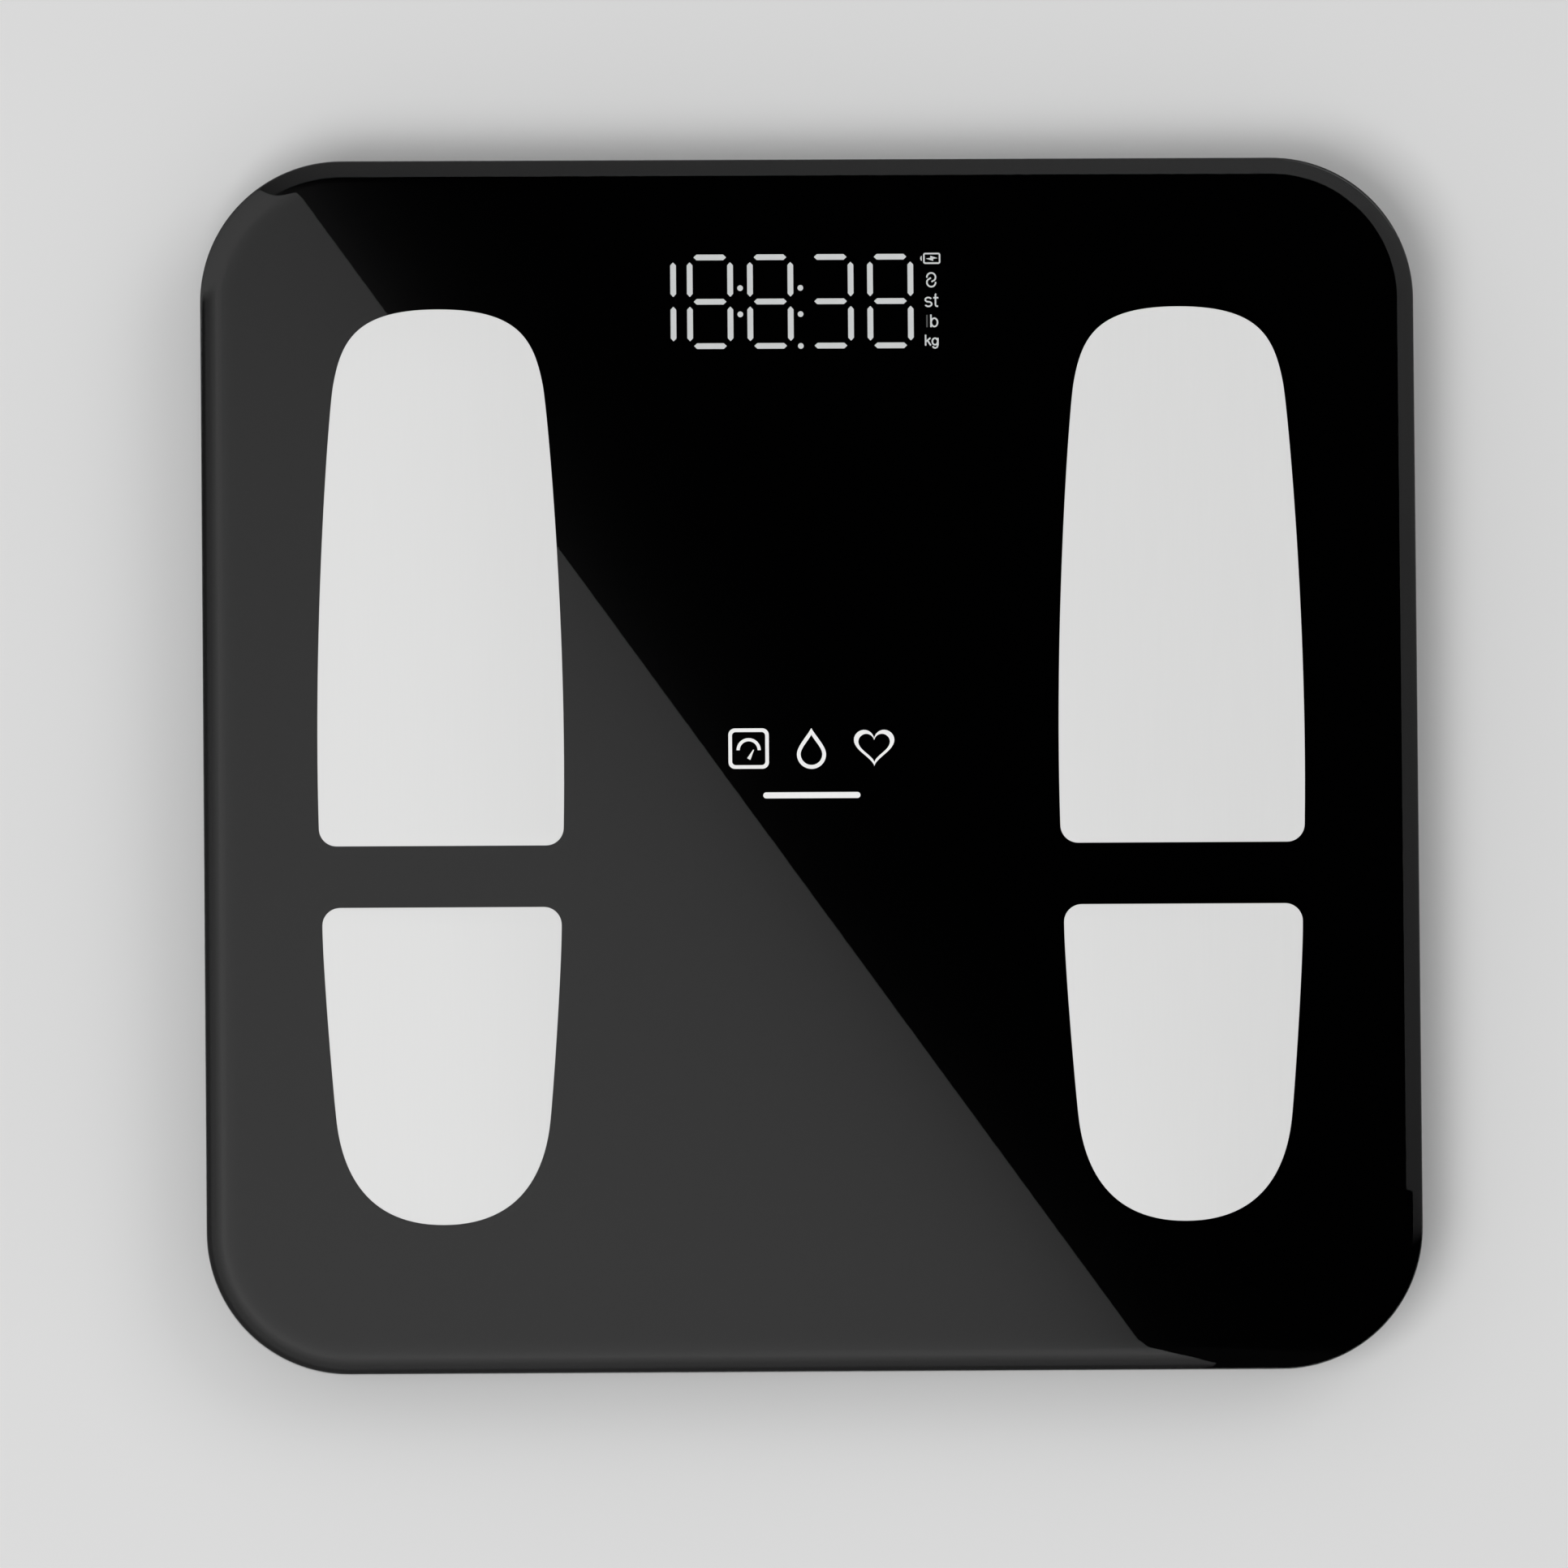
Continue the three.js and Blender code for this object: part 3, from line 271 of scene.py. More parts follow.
def arc(centre, radius, start, end, steps):
    return oval(*centre, radius, radius, start, end, steps)


def oval(x, y, half_x, half_y, start=0, end=345, steps=23):
    """Points along an ellipse between two angles, all round unless they are given."""
    return [(x + half_x * math.cos(math.radians(start + (end - start) * i / steps)),
             y + half_y * math.sin(math.radians(start + (end - start) * i / steps)))
            for i in range(steps + 1)]


def rounded_box(x, y, half_x, half_y, radius, steps=6):
    ring = []
    for turn, (sx, sy) in enumerate([(1, 1), (-1, 1), (-1, -1), (1, -1)]):
        centre = (x + sx * (half_x - radius), y + sy * (half_y - radius))
        ring += arc(centre, radius, 90 * turn, 90 * turn + 90, steps)
    return ring


def loft(name, levels, half, radius, steps):
    """A closed stack of rounded squares, from the bottom as (inset, z), and its bottom face's index."""
    rings = [[(x, y, z) for x, y in rounded_box(0, 0, half - inset, half - inset, radius - inset, steps)]
             for inset, z in levels]
    count = len(rings[0])
    faces = []
    for ring in range(len(rings) - 1):
        for i in range(count):
            j = (i + 1) % count
            a, b = ring * count, (ring + 1) * count
            faces.append((a + i, a + j, b + j, b + i))
    top = (len(rings) - 1) * count
    faces.append(tuple(reversed(range(count))))
    faces.append(tuple(range(top, top + count)))
    return mesh_of(name, [p for ring in rings for p in ring], faces), len(faces) - 2


def lathe(name, profile, centre=(0, 0), sides=96, closed=False):
    """A profile of (radius, z), listed upwards along the outside, turned about a vertical axis."""
    points, faces, rings = [], [], []
    for radius, z in profile:
        if radius == 0:
            rings.append([len(points)])
            points.append((centre[0], centre[1], z))
            continue
        rings.append(list(range(len(points), len(points) + sides)))
        for side in range(sides):
            angle = 2 * math.pi * side / sides
            points.append((centre[0] + radius * math.cos(angle), centre[1] + radius * math.sin(angle), z))
    if closed:
        rings.append(rings[0])
    for low, high in zip(rings, rings[1:]):
        for i in range(sides):
            j = (i + 1) % sides
            loop = [low[i % len(low)], low[j % len(low)], high[j % len(high)], high[i % len(high)]]
            faces.append(tuple(dict.fromkeys(loop)))
    return mesh_of(name, points, faces)


def flat_mesh(name, outlines, low, high, edge=0.0):
    """Closed outlines (holes included) made solid between two heights, with a rounded edge."""
    curve = bpy.data.curves.new(name, "CURVE")
    curve.dimensions = "2D"
    curve.fill_mode = "BOTH"
    curve.extrude = ((high - low) / 2 - edge) * MM
    curve.bevel_depth = edge * MM
    curve.offset = -edge * MM
    curve.bevel_resolution = 2
    for outline in outlines:
        spline = curve.splines.new("POLY")
        spline.points.add(len(outline) - 1)
        for point, (x, y) in zip(spline.points, outline):
            point.co = (x * MM, y * MM, 0, 1)
        spline.use_cyclic_u = True
    return solid_from(curve, name, (low + high) / 2)


def solid_from(curve, name, height=0.0):
    """The closed mesh of a curve, raised to a height."""
    holder = bpy.data.objects.new(name + "_curve", curve)
    bpy.context.scene.collection.objects.link(holder)
    graph = bpy.context.evaluated_depsgraph_get()
    mesh = bpy.data.meshes.new_from_object(holder.evaluated_get(graph), depsgraph=graph)
    bpy.data.objects.remove(holder)
    bpy.data.curves.remove(curve)
    mesh.name = name
    for vertex in mesh.vertices:
        vertex.co.z += height * MM
    shape = bmesh.new()
    shape.from_mesh(mesh)
    bmesh.ops.remove_doubles(shape, verts=shape.verts, dist=1e-7)
    bmesh.ops.recalc_face_normals(shape, faces=shape.faces)
    shape.to_mesh(mesh)
    shape.free()
    mesh.materials.clear()
    return mesh


def remapped(mesh, place):
    """Moves every vertex to place(x, y, z), in millimetres."""
    for vertex in mesh.vertices:
        vertex.co = [value * MM for value in place(*(value / MM for value in vertex.co))]
    mesh.update()
    return mesh


def cubic(p0, p1, p2, p3, steps):
    """The points of a Bezier curve after its first one."""
    for step in range(1, steps + 1):
        t = step / steps
        u = 1 - t
        yield tuple(u**3 * a + 3 * u * u * t * b + 3 * u * t * t * c + t**3 * d
                    for a, b, c, d in zip(p0, p1, p2, p3))


def softened(node, name, body, width):
    """A copy of a CAD node's mesh with its flat faces joined and its edges rounded."""
    mesh = NODES[node].data.copy()
    mesh.name = name
    mesh.materials.clear()
    shape = bmesh.new()
    shape.from_mesh(mesh)
    bmesh.ops.remove_doubles(shape, verts=shape.verts, dist=2e-6)
    bmesh.ops.dissolve_limit(shape, angle_limit=math.radians(0.6), verts=shape.verts, edges=shape.edges)
    shape.to_mesh(mesh)
    shape.free()
    if mesh.has_custom_normals:
        mesh.attributes.remove(mesh.attributes["custom_normal"])
    slot = SLOT_OF[node]
    piece = add_object(name, mesh, [MATERIALS[slot]], body)
    bevel = piece.modifiers.new("rounded_edges", "BEVEL")
    bevel.width = width * MM
    bevel.segments = 2
    bevel.limit_method = "ANGLE"
    bevel.angle_limit = math.radians(35)
    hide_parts(node)
    return piece


# Glass platform. The print under it stays PRINT_GAP clear of the pieces below.

PRINT_GAP = 0.03
HALF_SIDE, _, GLASS_HIGH = corners("glass_platform")[1]
GLASS_LOW = corners("glass_platform")[0][2] + PRINT_GAP
CORNER_RADIUS = 35
CROWN_WIDTH, CROWN_SLOPE = 5.6, 18.0
CROWN_STEPS = 26
ROLL = 0.5
ROLL_STEPS = 6
CORNER_STEPS = 32
LEVEL_STRIP = 2.0
LOWER_ARRIS = [(0.8, 0.0), (0.3, 0.3), (0.0, 0.8)]


def glass_levels():
    """The edge falls away ever more steeply from CROWN_WIDTH outwards, then rolls over into the side."""
    crown = [(CROWN_WIDTH, GLASS_HIGH)]
    stride = (CROWN_WIDTH - ROLL) / CROWN_STEPS
    for step in range(CROWN_STEPS):
        inset, z = crown[-1]
        share = (CROWN_WIDTH - inset + stride / 2) / CROWN_WIDTH
        slope = math.radians(CROWN_SLOPE * share)
        crown.append((inset - stride, z - stride * math.tan(slope)))
    roll = []
    last = math.radians(CROWN_SLOPE)
    for step in range(1, ROLL_STEPS + 1):
        angle = last + (math.pi / 2 - last) * step / ROLL_STEPS
        across = (math.sin(angle) - math.sin(last)) / (1 - math.sin(last))
        down = (math.cos(last) - math.cos(angle)) / (1 - math.sin(last))
        roll.append((ROLL * (1 - across), crown[-1][1] - ROLL * down))
    low = [(inset, GLASS_LOW + rise) for inset, rise in LOWER_ARRIS]
    return low + roll[::-1] + crown[::-1] + [(CROWN_WIDTH + LEVEL_STRIP, GLASS_HIGH)]


mesh, bottom_face = loft("platform_glass", glass_levels(), HALF_SIDE, CORNER_RADIUS, CORNER_STEPS)
glass = add_object("platform_glass", mesh, [MATERIALS["black_glass"], INK], "base", 60)
glass.data.polygons[bottom_face].material_index = 1

# The printed bottom face keeps a sharp border.
sharp = glass.data.attributes.get("sharp_edge") or glass.data.attributes.new("sharp_edge", "BOOLEAN", "EDGE")
for edge in glass.data.edges:
    heights = [glass.data.vertices[v].co.z for v in edge.vertices]
    if max(heights) < (GLASS_LOW + 0.01) * MM:
        sharp.data[edge.index].value = True
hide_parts("glass_platform")


# Electrodes: one round tip, curved flanks, a straight end with small corners

PAD_CORNER = 4.4
PAD_EDGE = 0.07
PADS = {
    "toe": dict(away=-1, half=30.2, side=128.4, shoulder=(25.9, 18.9), tip_handle=19.9,
                shoulder_handle=11.6, slope=0.18, flank_handle=6, end_handle=(31.4, 77.8)),
    "heel": dict(away=1, half=29.5, side=74, shoulder=(26.4, 26.1), tip_handle=19.1,
                 shoulder_handle=13, slope=0.1, flank_handle=11.1, end_handle=(29.5, 65.2)),
}


def pad_outline(pad, x, tip):
    """The outline of one electrode, with the middle of its round tip at (x, tip)."""
    sx, sl = pad["shoulder"]
    slope = pad["slope"]
    side = (pad["half"], pad["side"])
    half = [(0, 0)]
    half += cubic((0, 0), (pad["tip_handle"], 0),
                  (sx - pad["shoulder_handle"] * slope, sl - pad["shoulder_handle"]), (sx, sl), 28)
    half += cubic((sx, sl), (sx + pad["flank_handle"] * slope, sl + pad["flank_handle"]),
                  pad["end_handle"], side, 28)
    half += arc((pad["half"] - PAD_CORNER, pad["side"]), PAD_CORNER, 0, 90, 12)[1:]
    left = [(-px, py) for px, py in reversed(half[1:])]
    return [(x + px, tip + pad["away"] * py) for px, py in half + left]


for kind, pad in PADS.items():
    for side in ("left", "right"):
        node = f"{kind}_electrode_{side}"
        low, high = corners(node)
        outline = pad_outline(pad, middle(node)[0], high[1] if kind == "toe" else low[1])
        mesh = flat_mesh(f"{kind}_pad_{side}", [outline], GLASS_HIGH, high[2], PAD_EDGE)
        piece = add_object(mesh.name, mesh, [MATERIALS["electrode_steel"]], "base")
        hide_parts(node)


# Display: lit shapes in the glass, just above the black print

LIT_LOW, LIT_HIGH = GLASS_LOW + 0.02, GLASS_LOW + 0.05
DIGIT_Y, DIGIT_HEIGHT, DIGIT_WIDTH = 115.0, 22, 10
SEGMENT_SIDE, SEGMENT_ACROSS, SEGMENT_UP = 0.71, 8.0, 8.5
SEGMENT_TIP = 0.05
DOT_RADIUS = 0.71
DIGITS = [(-43.0, "bc"), (-28.9, "abcdefg"), (-14.0, "abcdefg"), (0.9, "abcdg"), (15.7, "abcdefg")]
DOTS = [(-16.45, 118.35), (-16.45, 111.85), (-1.55, 118.35), (-1.55, 111.85), (-1.55, 103.95)]
STROKE_WIDTH = 0.39
RING_GAP, RING_POINTS = 0.5, 12
BATTERY_ICON = (31.02, 125.55)
LINK_ICON = (30.85, 120.22)
LINK_RADIUS = 1.07
STONE_ROW, POUND_ROW, KILO_ROW = (29.08, 113.63), (29.17, 108.46), (29.1, 103.88)


def segment(x, y, length, upright):
    half, s, tip = length / 2, SEGMENT_SIDE, SEGMENT_TIP
    along = [(-half, -tip), (s - half, -s), (half - s, -s), (half, -tip),
             (half, tip), (half - s, s), (s - half, s), (-half, tip)]
    return [(x - b, y + a) if upright else (x + a, y + b) for a, b in along]


def digit(x, letters):
    up, centre, right = DIGIT_HEIGHT / 2, x + DIGIT_WIDTH / 2, x + DIGIT_WIDTH
    places = {
        "a": (centre, DIGIT_Y + up, SEGMENT_ACROSS, False),
        "b": (right, DIGIT_Y + up / 2, SEGMENT_UP, True),
        "c": (right, DIGIT_Y - up / 2, SEGMENT_UP, True),
        "d": (centre, DIGIT_Y - up, SEGMENT_ACROSS, False),
        "e": (x, DIGIT_Y - up / 2, SEGMENT_UP, True),
        "f": (x, DIGIT_Y + up / 2, SEGMENT_UP, True),
        "g": (centre, DIGIT_Y, SEGMENT_ACROSS, False),
    }
    return [segment(*places[letter]) for letter in letters]


def stroke(path, width, closed=False):
    """Outline of a line of even width along a path, or the two edges of a closed ring."""
    sides = ([], [])
    count = len(path)
    for i, (x, y) in enumerate(path):
        before = path[i - 1] if closed or i else path[0]
        after = path[(i + 1) % count] if closed or i < count - 1 else path[-1]
        dx, dy = after[0] - before[0], after[1] - before[1]
        reach = width / 2 / math.hypot(dx, dy)
        sides[0].append((x - dy * reach, y + dx * reach))
        sides[1].append((x + dy * reach, y - dx * reach))
    return list(sides) if closed else [sides[0] + sides[1][::-1]]


def printed(name, shapes, low, high, material):
    """Flat areas joined into one piece on the base; each shape is the list of its outlines."""
    shape = bmesh.new()
    for outlines in shapes:
        part = flat_mesh(name, outlines, low, high)
        shape.from_mesh(part)
        bpy.data.meshes.remove(part)
    mesh = bpy.data.meshes.new(name)
    shape.to_mesh(mesh)
    shape.free()
    return add_object(name, mesh, [material], "base", 0)


def lit_piece(name, shapes, material=LIT):
    return printed(name, shapes, LIT_LOW, LIT_HIGH, material)


def lit_strokes(name, origin, paths, material=LIT, width=STROKE_WIDTH):
    """Lines drawn from origin; a path of many points whose ends nearly meet is a ring."""
    shapes = []
    for path in paths:
        placed = [(origin[0] + x, origin[1] + y) for x, y in path]
        closed = math.dist(path[0], path[-1]) < RING_GAP and len(path) > RING_POINTS
        shapes.append(stroke(placed, width, closed))
    return lit_piece(name, shapes, material)


for place, (x, letters) in enumerate(DIGITS):
    lit_piece(f"lit_digit_{place + 1}", [digit(x, letters)])
lit_piece("lit_dots", [[arc(dot, DOT_RADIUS, 0, 345, 23)] for dot in DOTS])

x, y = BATTERY_ICON
bolt = [(-1.45, -0.05), (-0.35, 0.13), (-0.35, 0.65), (1.45, 0.05), (0.35, -0.13), (0.35, -0.65)]
lit_piece("lit_battery_icon", [
    [rounded_box(x, y, 2.14, 1.39, 0.55), rounded_box(x, y, 1.74, 0.99, 0.15)],
    [arc((x - 2.1, y), 0.75, 120, 240, 10)],
    [[(x + dx, y + dy) for dx, dy in bolt]],
])

hook = arc((0, 0.635), LINK_RADIUS, 186, -40, 24) + [(0.45, -0.27), (0.06, -0.5)]
lit_strokes("lit_link_icon", LINK_ICON, [hook, [(-px, -py) for px, py in hook]])
lit_strokes("lit_unit_st", STONE_ROW, [
    oval(1.0, 1.67, 0.73, 0.53, 20, 255) + oval(1.03, 0.57, 0.8, 0.57, 80, -160),
    [(2.92, 3.12), (2.77, 2.9), (2.77, 0.45), (2.85, 0.15), (3.1, 0.03), (3.42, 0.03)],
    [(2.23, 2.14), (3.48, 2.14)],
])
lit_strokes("lit_unit_l", POUND_ROW, [[(0.54, 0), (0.54, 3.05)]], DIM, 0.4)
lit_strokes("lit_unit_b", POUND_ROW, [
    [(1.52, 0), (1.52, 3.15)],
    oval(2.36, 1.2, 0.78, 1.03),
])
lit_strokes("lit_unit_kg", KILO_ROW, [
    [(0.23, 0), (0.23, 2.72)],
    [(1.41, 1.92), (0.37, 1.04)],
    [(0.71, 1.31), (1.49, 0.05)],
    oval(2.55, 1.03, 0.66, 0.81),
    [(3.26, 1.93), (3.26, 0.23), (3.07, -0.37), (2.62, -0.6), (2.19, -0.47), (1.97, -0.15)],
])


# Printed pictograms on the glass: a scale, a drop and a heart over a plain bar

PRINT_LOW, PRINT_HIGH = GLASS_HIGH, GLASS_HIGH + 0.03
PICTOGRAM_Y, PICTOGRAM_PITCH, PICTOGRAM_SIZE = 3.9, 15.5, 5.0
BAR_Y, BAR_HALF_LENGTH, BAR_HALF_WIDTH = -7.7, 12, 0.75
HEART_POINTS = 60


def drop(x, y, size):
    """A drop with its tip at the top, curved flanks and a round base."""
    tip = (x, y + size)
    left = list(cubic(tip, (x - 0.25 * size, y + 0.55 * size), (x - 0.72 * size, y + 0.1 * size),
                      (x - 0.72 * size, y - 0.3 * size), 16))
    base = arc((x, y - 0.3 * size), 0.72 * size, 180, 360, 24)[1:]
    right = list(cubic(base[-1], (x + 0.72 * size, y + 0.1 * size), (x + 0.25 * size, y + 0.55 * size),
                       tip, 16))[:-1]
    return [tip] + left + base + right


def heart(x, y, size):
    """A heart of half width size, from the usual heart curve of sines and cosines."""
    points = []
    for step in range(HEART_POINTS):
        t = 2 * math.pi * step / HEART_POINTS
        across = 16 * math.sin(t) ** 3
        up = 13 * math.cos(t) - 5 * math.cos(2 * t) - 2 * math.cos(3 * t) - math.cos(4 * t)
        points.append((x + across * size / 16, y + (up + 2.5) * size / 16))
    return points


def needle(x, y, lean=28, length=2.6):
    """A pointer that narrows upwards and leans to the right."""
    s, c = math.sin(math.radians(lean)), math.cos(math.radians(lean))
    shape = [(-0.45, 0), (0.45, 0), (0.12, length), (-0.12, length)]
    return [(x + c * px + s * py, y - s * px + c * py) for px, py in shape]


def scale_sign(x, y, size):
    """A square scale seen from above, with a dial and its needle."""
    inner = size - 0.9
    dial = (x, y - 0.4)
    return [rounded_box(x, y, size, size, 1.6), rounded_box(x, y, inner, inner, 0.9),
            arc(dial, 3, 0, 180, 24) + arc(dial, 2.2, 180, 0, 24), needle(x, y - 2.6)]


pictograms = scale_sign(-PICTOGRAM_PITCH, PICTOGRAM_Y, PICTOGRAM_SIZE)
pictograms += [drop(0, PICTOGRAM_Y, PICTOGRAM_SIZE), drop(0, PICTOGRAM_Y - 0.35, PICTOGRAM_SIZE - 1.3)]
pictograms += [heart(PICTOGRAM_PITCH, PICTOGRAM_Y, size) for size in (PICTOGRAM_SIZE, PICTOGRAM_SIZE - 1.1)]
mesh = flat_mesh("print_pictograms", pictograms, PRINT_LOW, PRINT_HIGH)
add_object("print_pictograms", mesh, [ENAMEL], "base", 0)
bar = rounded_box(0, BAR_Y, BAR_HALF_LENGTH, BAR_HALF_WIDTH, BAR_HALF_WIDTH)
mesh = flat_mesh("print_bar", [bar], PRINT_LOW, PRINT_HIGH)
add_object("print_bar", mesh, [ENAMEL], "base", 0)


# Base, feet, button and door

softened("base_housing", "housing_shell", "base", 0.25)
softened("battery_door", "door_panel", "door", 0.2)

CORNERS = ("toe_left", "toe_right", "heel_left", "heel_right")


def tread():
    """Pad face seen from below: three grooves between flat rings."""
    profile = [(0, 0)]
    for inner in (4.2, 7.8, 11.4):
        profile += [(inner, 0), (inner + 0.15, 0.5), (inner + 0.85, 0.5), (inner + 1, 0)]
    return profile + [(14.0, 0), (14.45, 0.1), (14.8, 0.35), (15, 0.8), (15, 2.6), (0, 2.6)]


CUP = [(0, 2.6), (15.3, 2.6), (15.3, 1.35), (15.45, 1.2), (17.3, 1.2), (17.7, 1.35), (17.95, 1.7),
       (18, 2.1), (18, 6.5), (19.5, 6.5), (19.5, 7.6), (4, 7.6), (4, 9), (0, 9)]
BUTTON_CAP = [(0, 3.85), (1.2, 3.82), (2.2, 3.72), (3.0, 3.58), (3.5, 3.5), (3.75, 3.56), (3.94, 3.72),
              (4, 4), (4, 6.5), (5.2, 6.5), (5.2, 7.2), (1.2, 7.2), (1.2, 7.5), (0, 7.5)]

for corner in CORNERS:
    centre = middle(f"foot_cup_{corner}")[:2]
    piece = add_object(f"foot_ring_{corner}", lathe(f"foot_ring_{corner}", CUP, centre),
                       [MATERIALS["grey_plastic"]], "base", 40)
    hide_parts(f"foot_cup_{corner}")
    piece = add_object(f"foot_tread_{corner}", lathe(f"foot_tread_{corner}", tread(), centre),
                       [MATERIALS["rubber"]], "base", 40)
    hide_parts(f"foot_pad_{corner}")

piece = add_object("unit_button_cap", lathe("unit_button_cap", BUTTON_CAP, middle("unit_button")[:2], 64),
                   [MATERIALS["grey_plastic"]], "button", 40)
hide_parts("unit_button")


# Blank label in its recess, and a raised arrow on the door

LABEL_Y, LABEL_TOP, LABEL_THICK = -50, 4.4, 0.1
LABEL_HALF = (33.2, 20.2)
LABEL_MARGIN, LABEL_ROW, LABEL_SPLIT = 1.6, 6.5, 9
RULE, RULE_THICK = 0.3, 0.02
ARROW_FROM_EDGE, ARROW_HALF, ARROW_LENGTH = 13.0, 2.7, 4.6
ARROW_RISE, ARROW_ROOT = 0.2, 0.1


def label_rules():
    """A ruled blank form: a frame, two lines across and one line down."""
    half_x, half_y = (half - LABEL_MARGIN for half in LABEL_HALF)
    rows = [LABEL_Y + LABEL_ROW, LABEL_Y - LABEL_ROW]
    lines = [[(-half_x, y), (half_x, y)] for y in rows]
    lines.append([(LABEL_SPLIT, rows[0]), (LABEL_SPLIT, LABEL_Y + half_y)])
    border = [rounded_box(0, LABEL_Y, half_x, half_y, 1.0),
              rounded_box(0, LABEL_Y, half_x - RULE, half_y - RULE, 0.7)]
    return [border] + [stroke(line, RULE) for line in lines]


label_low = LABEL_TOP - LABEL_THICK
mesh = flat_mesh("blank_label", [rounded_box(0, LABEL_Y, *LABEL_HALF, 1.5)], label_low, LABEL_TOP, 0.03)
add_object("blank_label", mesh, [LABEL_FILM], "base")
printed("label_rules", label_rules(), label_low - RULE_THICK, label_low, LABEL_INK)

_, door_edge, door_low = corners("battery_door")[0]
arrow_y = door_edge + ARROW_FROM_EDGE
arrow = [(-ARROW_HALF, arrow_y), (ARROW_HALF, arrow_y), (0, arrow_y + ARROW_LENGTH)]
mesh = flat_mesh("door_mark", [arrow], door_low - ARROW_RISE, door_low + ARROW_ROOT, 0.08)
add_object("door_mark", mesh, [MATERIALS["black_plastic"]], "door")


# Battery cells: a steel can in a printed sleeve, laid along X

CELL_WAYS = {"battery_cell_1": 1, "battery_cell_2": -1, "battery_cell_3": 1}
CAN = [(0, 0.22), (3.5, 0.22), (3.75, 0.05), (4.4, 0.05), (4.9, 0.3), (5.05, 0.7), (5.05, 43.1),
       (4.9, 43.45), (4.3, 43.55), (2.9, 43.45), (2.3, 43.5), (1.95, 43.62), (1.9, 44.2), (1.75, 44.42),
       (1.45, 44.5), (0, 44.5)]
SLEEVE = [(4.3, 0.0), (4.85, 0.06), (5.18, 0.35), (5.25, 0.8), (5.25, 42.8), (5.18, 43.25), (4.85, 43.56),
          (4.25, 43.62), (4.25, 43.5), (4.8, 43.4), (5.08, 43.1), (5.08, 0.6), (4.8, 0.2), (4.3, 0.1)]
SLEEVE_RADIUS = 5.25
FOIL = 0.015
BAND_LOW, BAND_HIGH = 35.5, 42.6
BAND = [(SLEEVE_RADIUS, BAND_LOW), (SLEEVE_RADIUS + FOIL, BAND_LOW), (SLEEVE_RADIUS + FOIL, BAND_HIGH),
        (SLEEVE_RADIUS, BAND_HIGH)]
SIGN_SIZE, SIGN_WIDTH = 2.6, 0.55
PLUS_Z, MINUS_Z = 32.5, 5.0


def patch(radius, z0, z1, spread, steps=10):
    """A thin curved rectangle on a vertical cylinder, facing -X, spread degrees to each side."""
    points = []
    for step in range(steps + 1):
        angle = math.radians(180 - spread + 2 * spread * step / steps)
        for r, z in ((radius, z0), (radius + FOIL, z0), (radius + FOIL, z1), (radius, z1)):
            points.append((r * math.cos(angle), r * math.sin(angle), z))
    faces = [(0, 1, 2, 3), tuple(4 * steps + i for i in (3, 2, 1, 0))]
    for step in range(steps):
        for i in range(4):
            a, b = 4 * step + i, 4 * step + (i + 1) % 4
            faces.append((a, a + 4, b + 4, b))
    return points, faces


def polarity_signs():
    """A plus near the top and a minus near the bottom."""
    tall = math.degrees(SIGN_WIDTH / 2 / SLEEVE_RADIUS)
    wide = math.degrees(SIGN_SIZE / 2 / SLEEVE_RADIUS)
    half, thin = SIGN_SIZE / 2, SIGN_WIDTH / 2
    parts = [patch(SLEEVE_RADIUS, PLUS_Z - thin, PLUS_Z + thin, wide),
             patch(SLEEVE_RADIUS, PLUS_Z + thin, PLUS_Z + half, tall, 2),
             patch(SLEEVE_RADIUS, PLUS_Z - half, PLUS_Z - thin, tall, 2),
             patch(SLEEVE_RADIUS, MINUS_Z - thin, MINUS_Z + thin, wide)]
    points, faces = [], []
    for part_points, part_faces in parts:
        faces += [tuple(len(points) + i for i in face) for face in part_faces]
        points += part_points
    return points, faces


def battery_cell(node, way):
    """A cell whose nub points along +X (way 1) or -X (way -1)."""
    number = node[-1]
    start = corners(node)[0 if way > 0 else 1][0]
    _, y, z = middle(node)

    def cell_piece(name, mesh, material, smooth=40):
        remapped(mesh, lambda a, b, c: (start + way * c, y - way * b, z + a))
        return add_object(name, mesh, [material], "base", smooth)

    name = f"cell_can_{number}"
    cell_piece(name, lathe(name, CAN), MATERIALS["contact_nickel"])
    name = f"cell_sleeve_{number}"
    sleeve = cell_piece(name, lathe(name, SLEEVE, closed=True), MATERIALS["cell_jacket"])
    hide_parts(node)
    name = f"cell_band_{number}"
    cell_piece(name, lathe(name, BAND, closed=True), SLEEVE_SILVER)
    name = f"cell_signs_{number}"
    cell_piece(name, mesh_of(name, *polarity_signs()), SLEEVE_SILVER, 0)


for node, way in CELL_WAYS.items():
    battery_cell(node, way)


# Battery contacts: a plate on each end wall, with a dimple for a nub and a spring for a flat end

BAY_HALF = corners("battery_bridge_right")[1][0]
PLATE_THICK, PLATE_MARGIN, PLATE_CORNER = 0.4, 4.0, 0.9
DIMPLE = [(0, 0), (2.2, 0), (2.2, 0.3), (1.95, 0.62), (1.4, 0.84), (0.7, 0.9), (0, 0.9)]
SPRING_TURNS, SPRING_STEPS = 3, 32
SPRING_ROOT, SPRING_TIP, SPRING_CLOSING = 3.6, 2.2, 0.3
SPRING_LENGTH, SPRING_WIRE = 4.0, 0.35
TAB = dict(z=15.2, half_width=1.5, half_thick=0.2, outside=4.0)
CONTACTS = {
    "battery_contact_negative": (-1, [("battery_cell_1", "spring")]),
    "battery_contact_positive": (1, [("battery_cell_3", "dimple")]),
    "battery_bridge_right": (1, [("battery_cell_1", "dimple"), ("battery_cell_2", "spring")]),
    "battery_bridge_left": (-1, [("battery_cell_2", "dimple"), ("battery_cell_3", "spring")]),
}


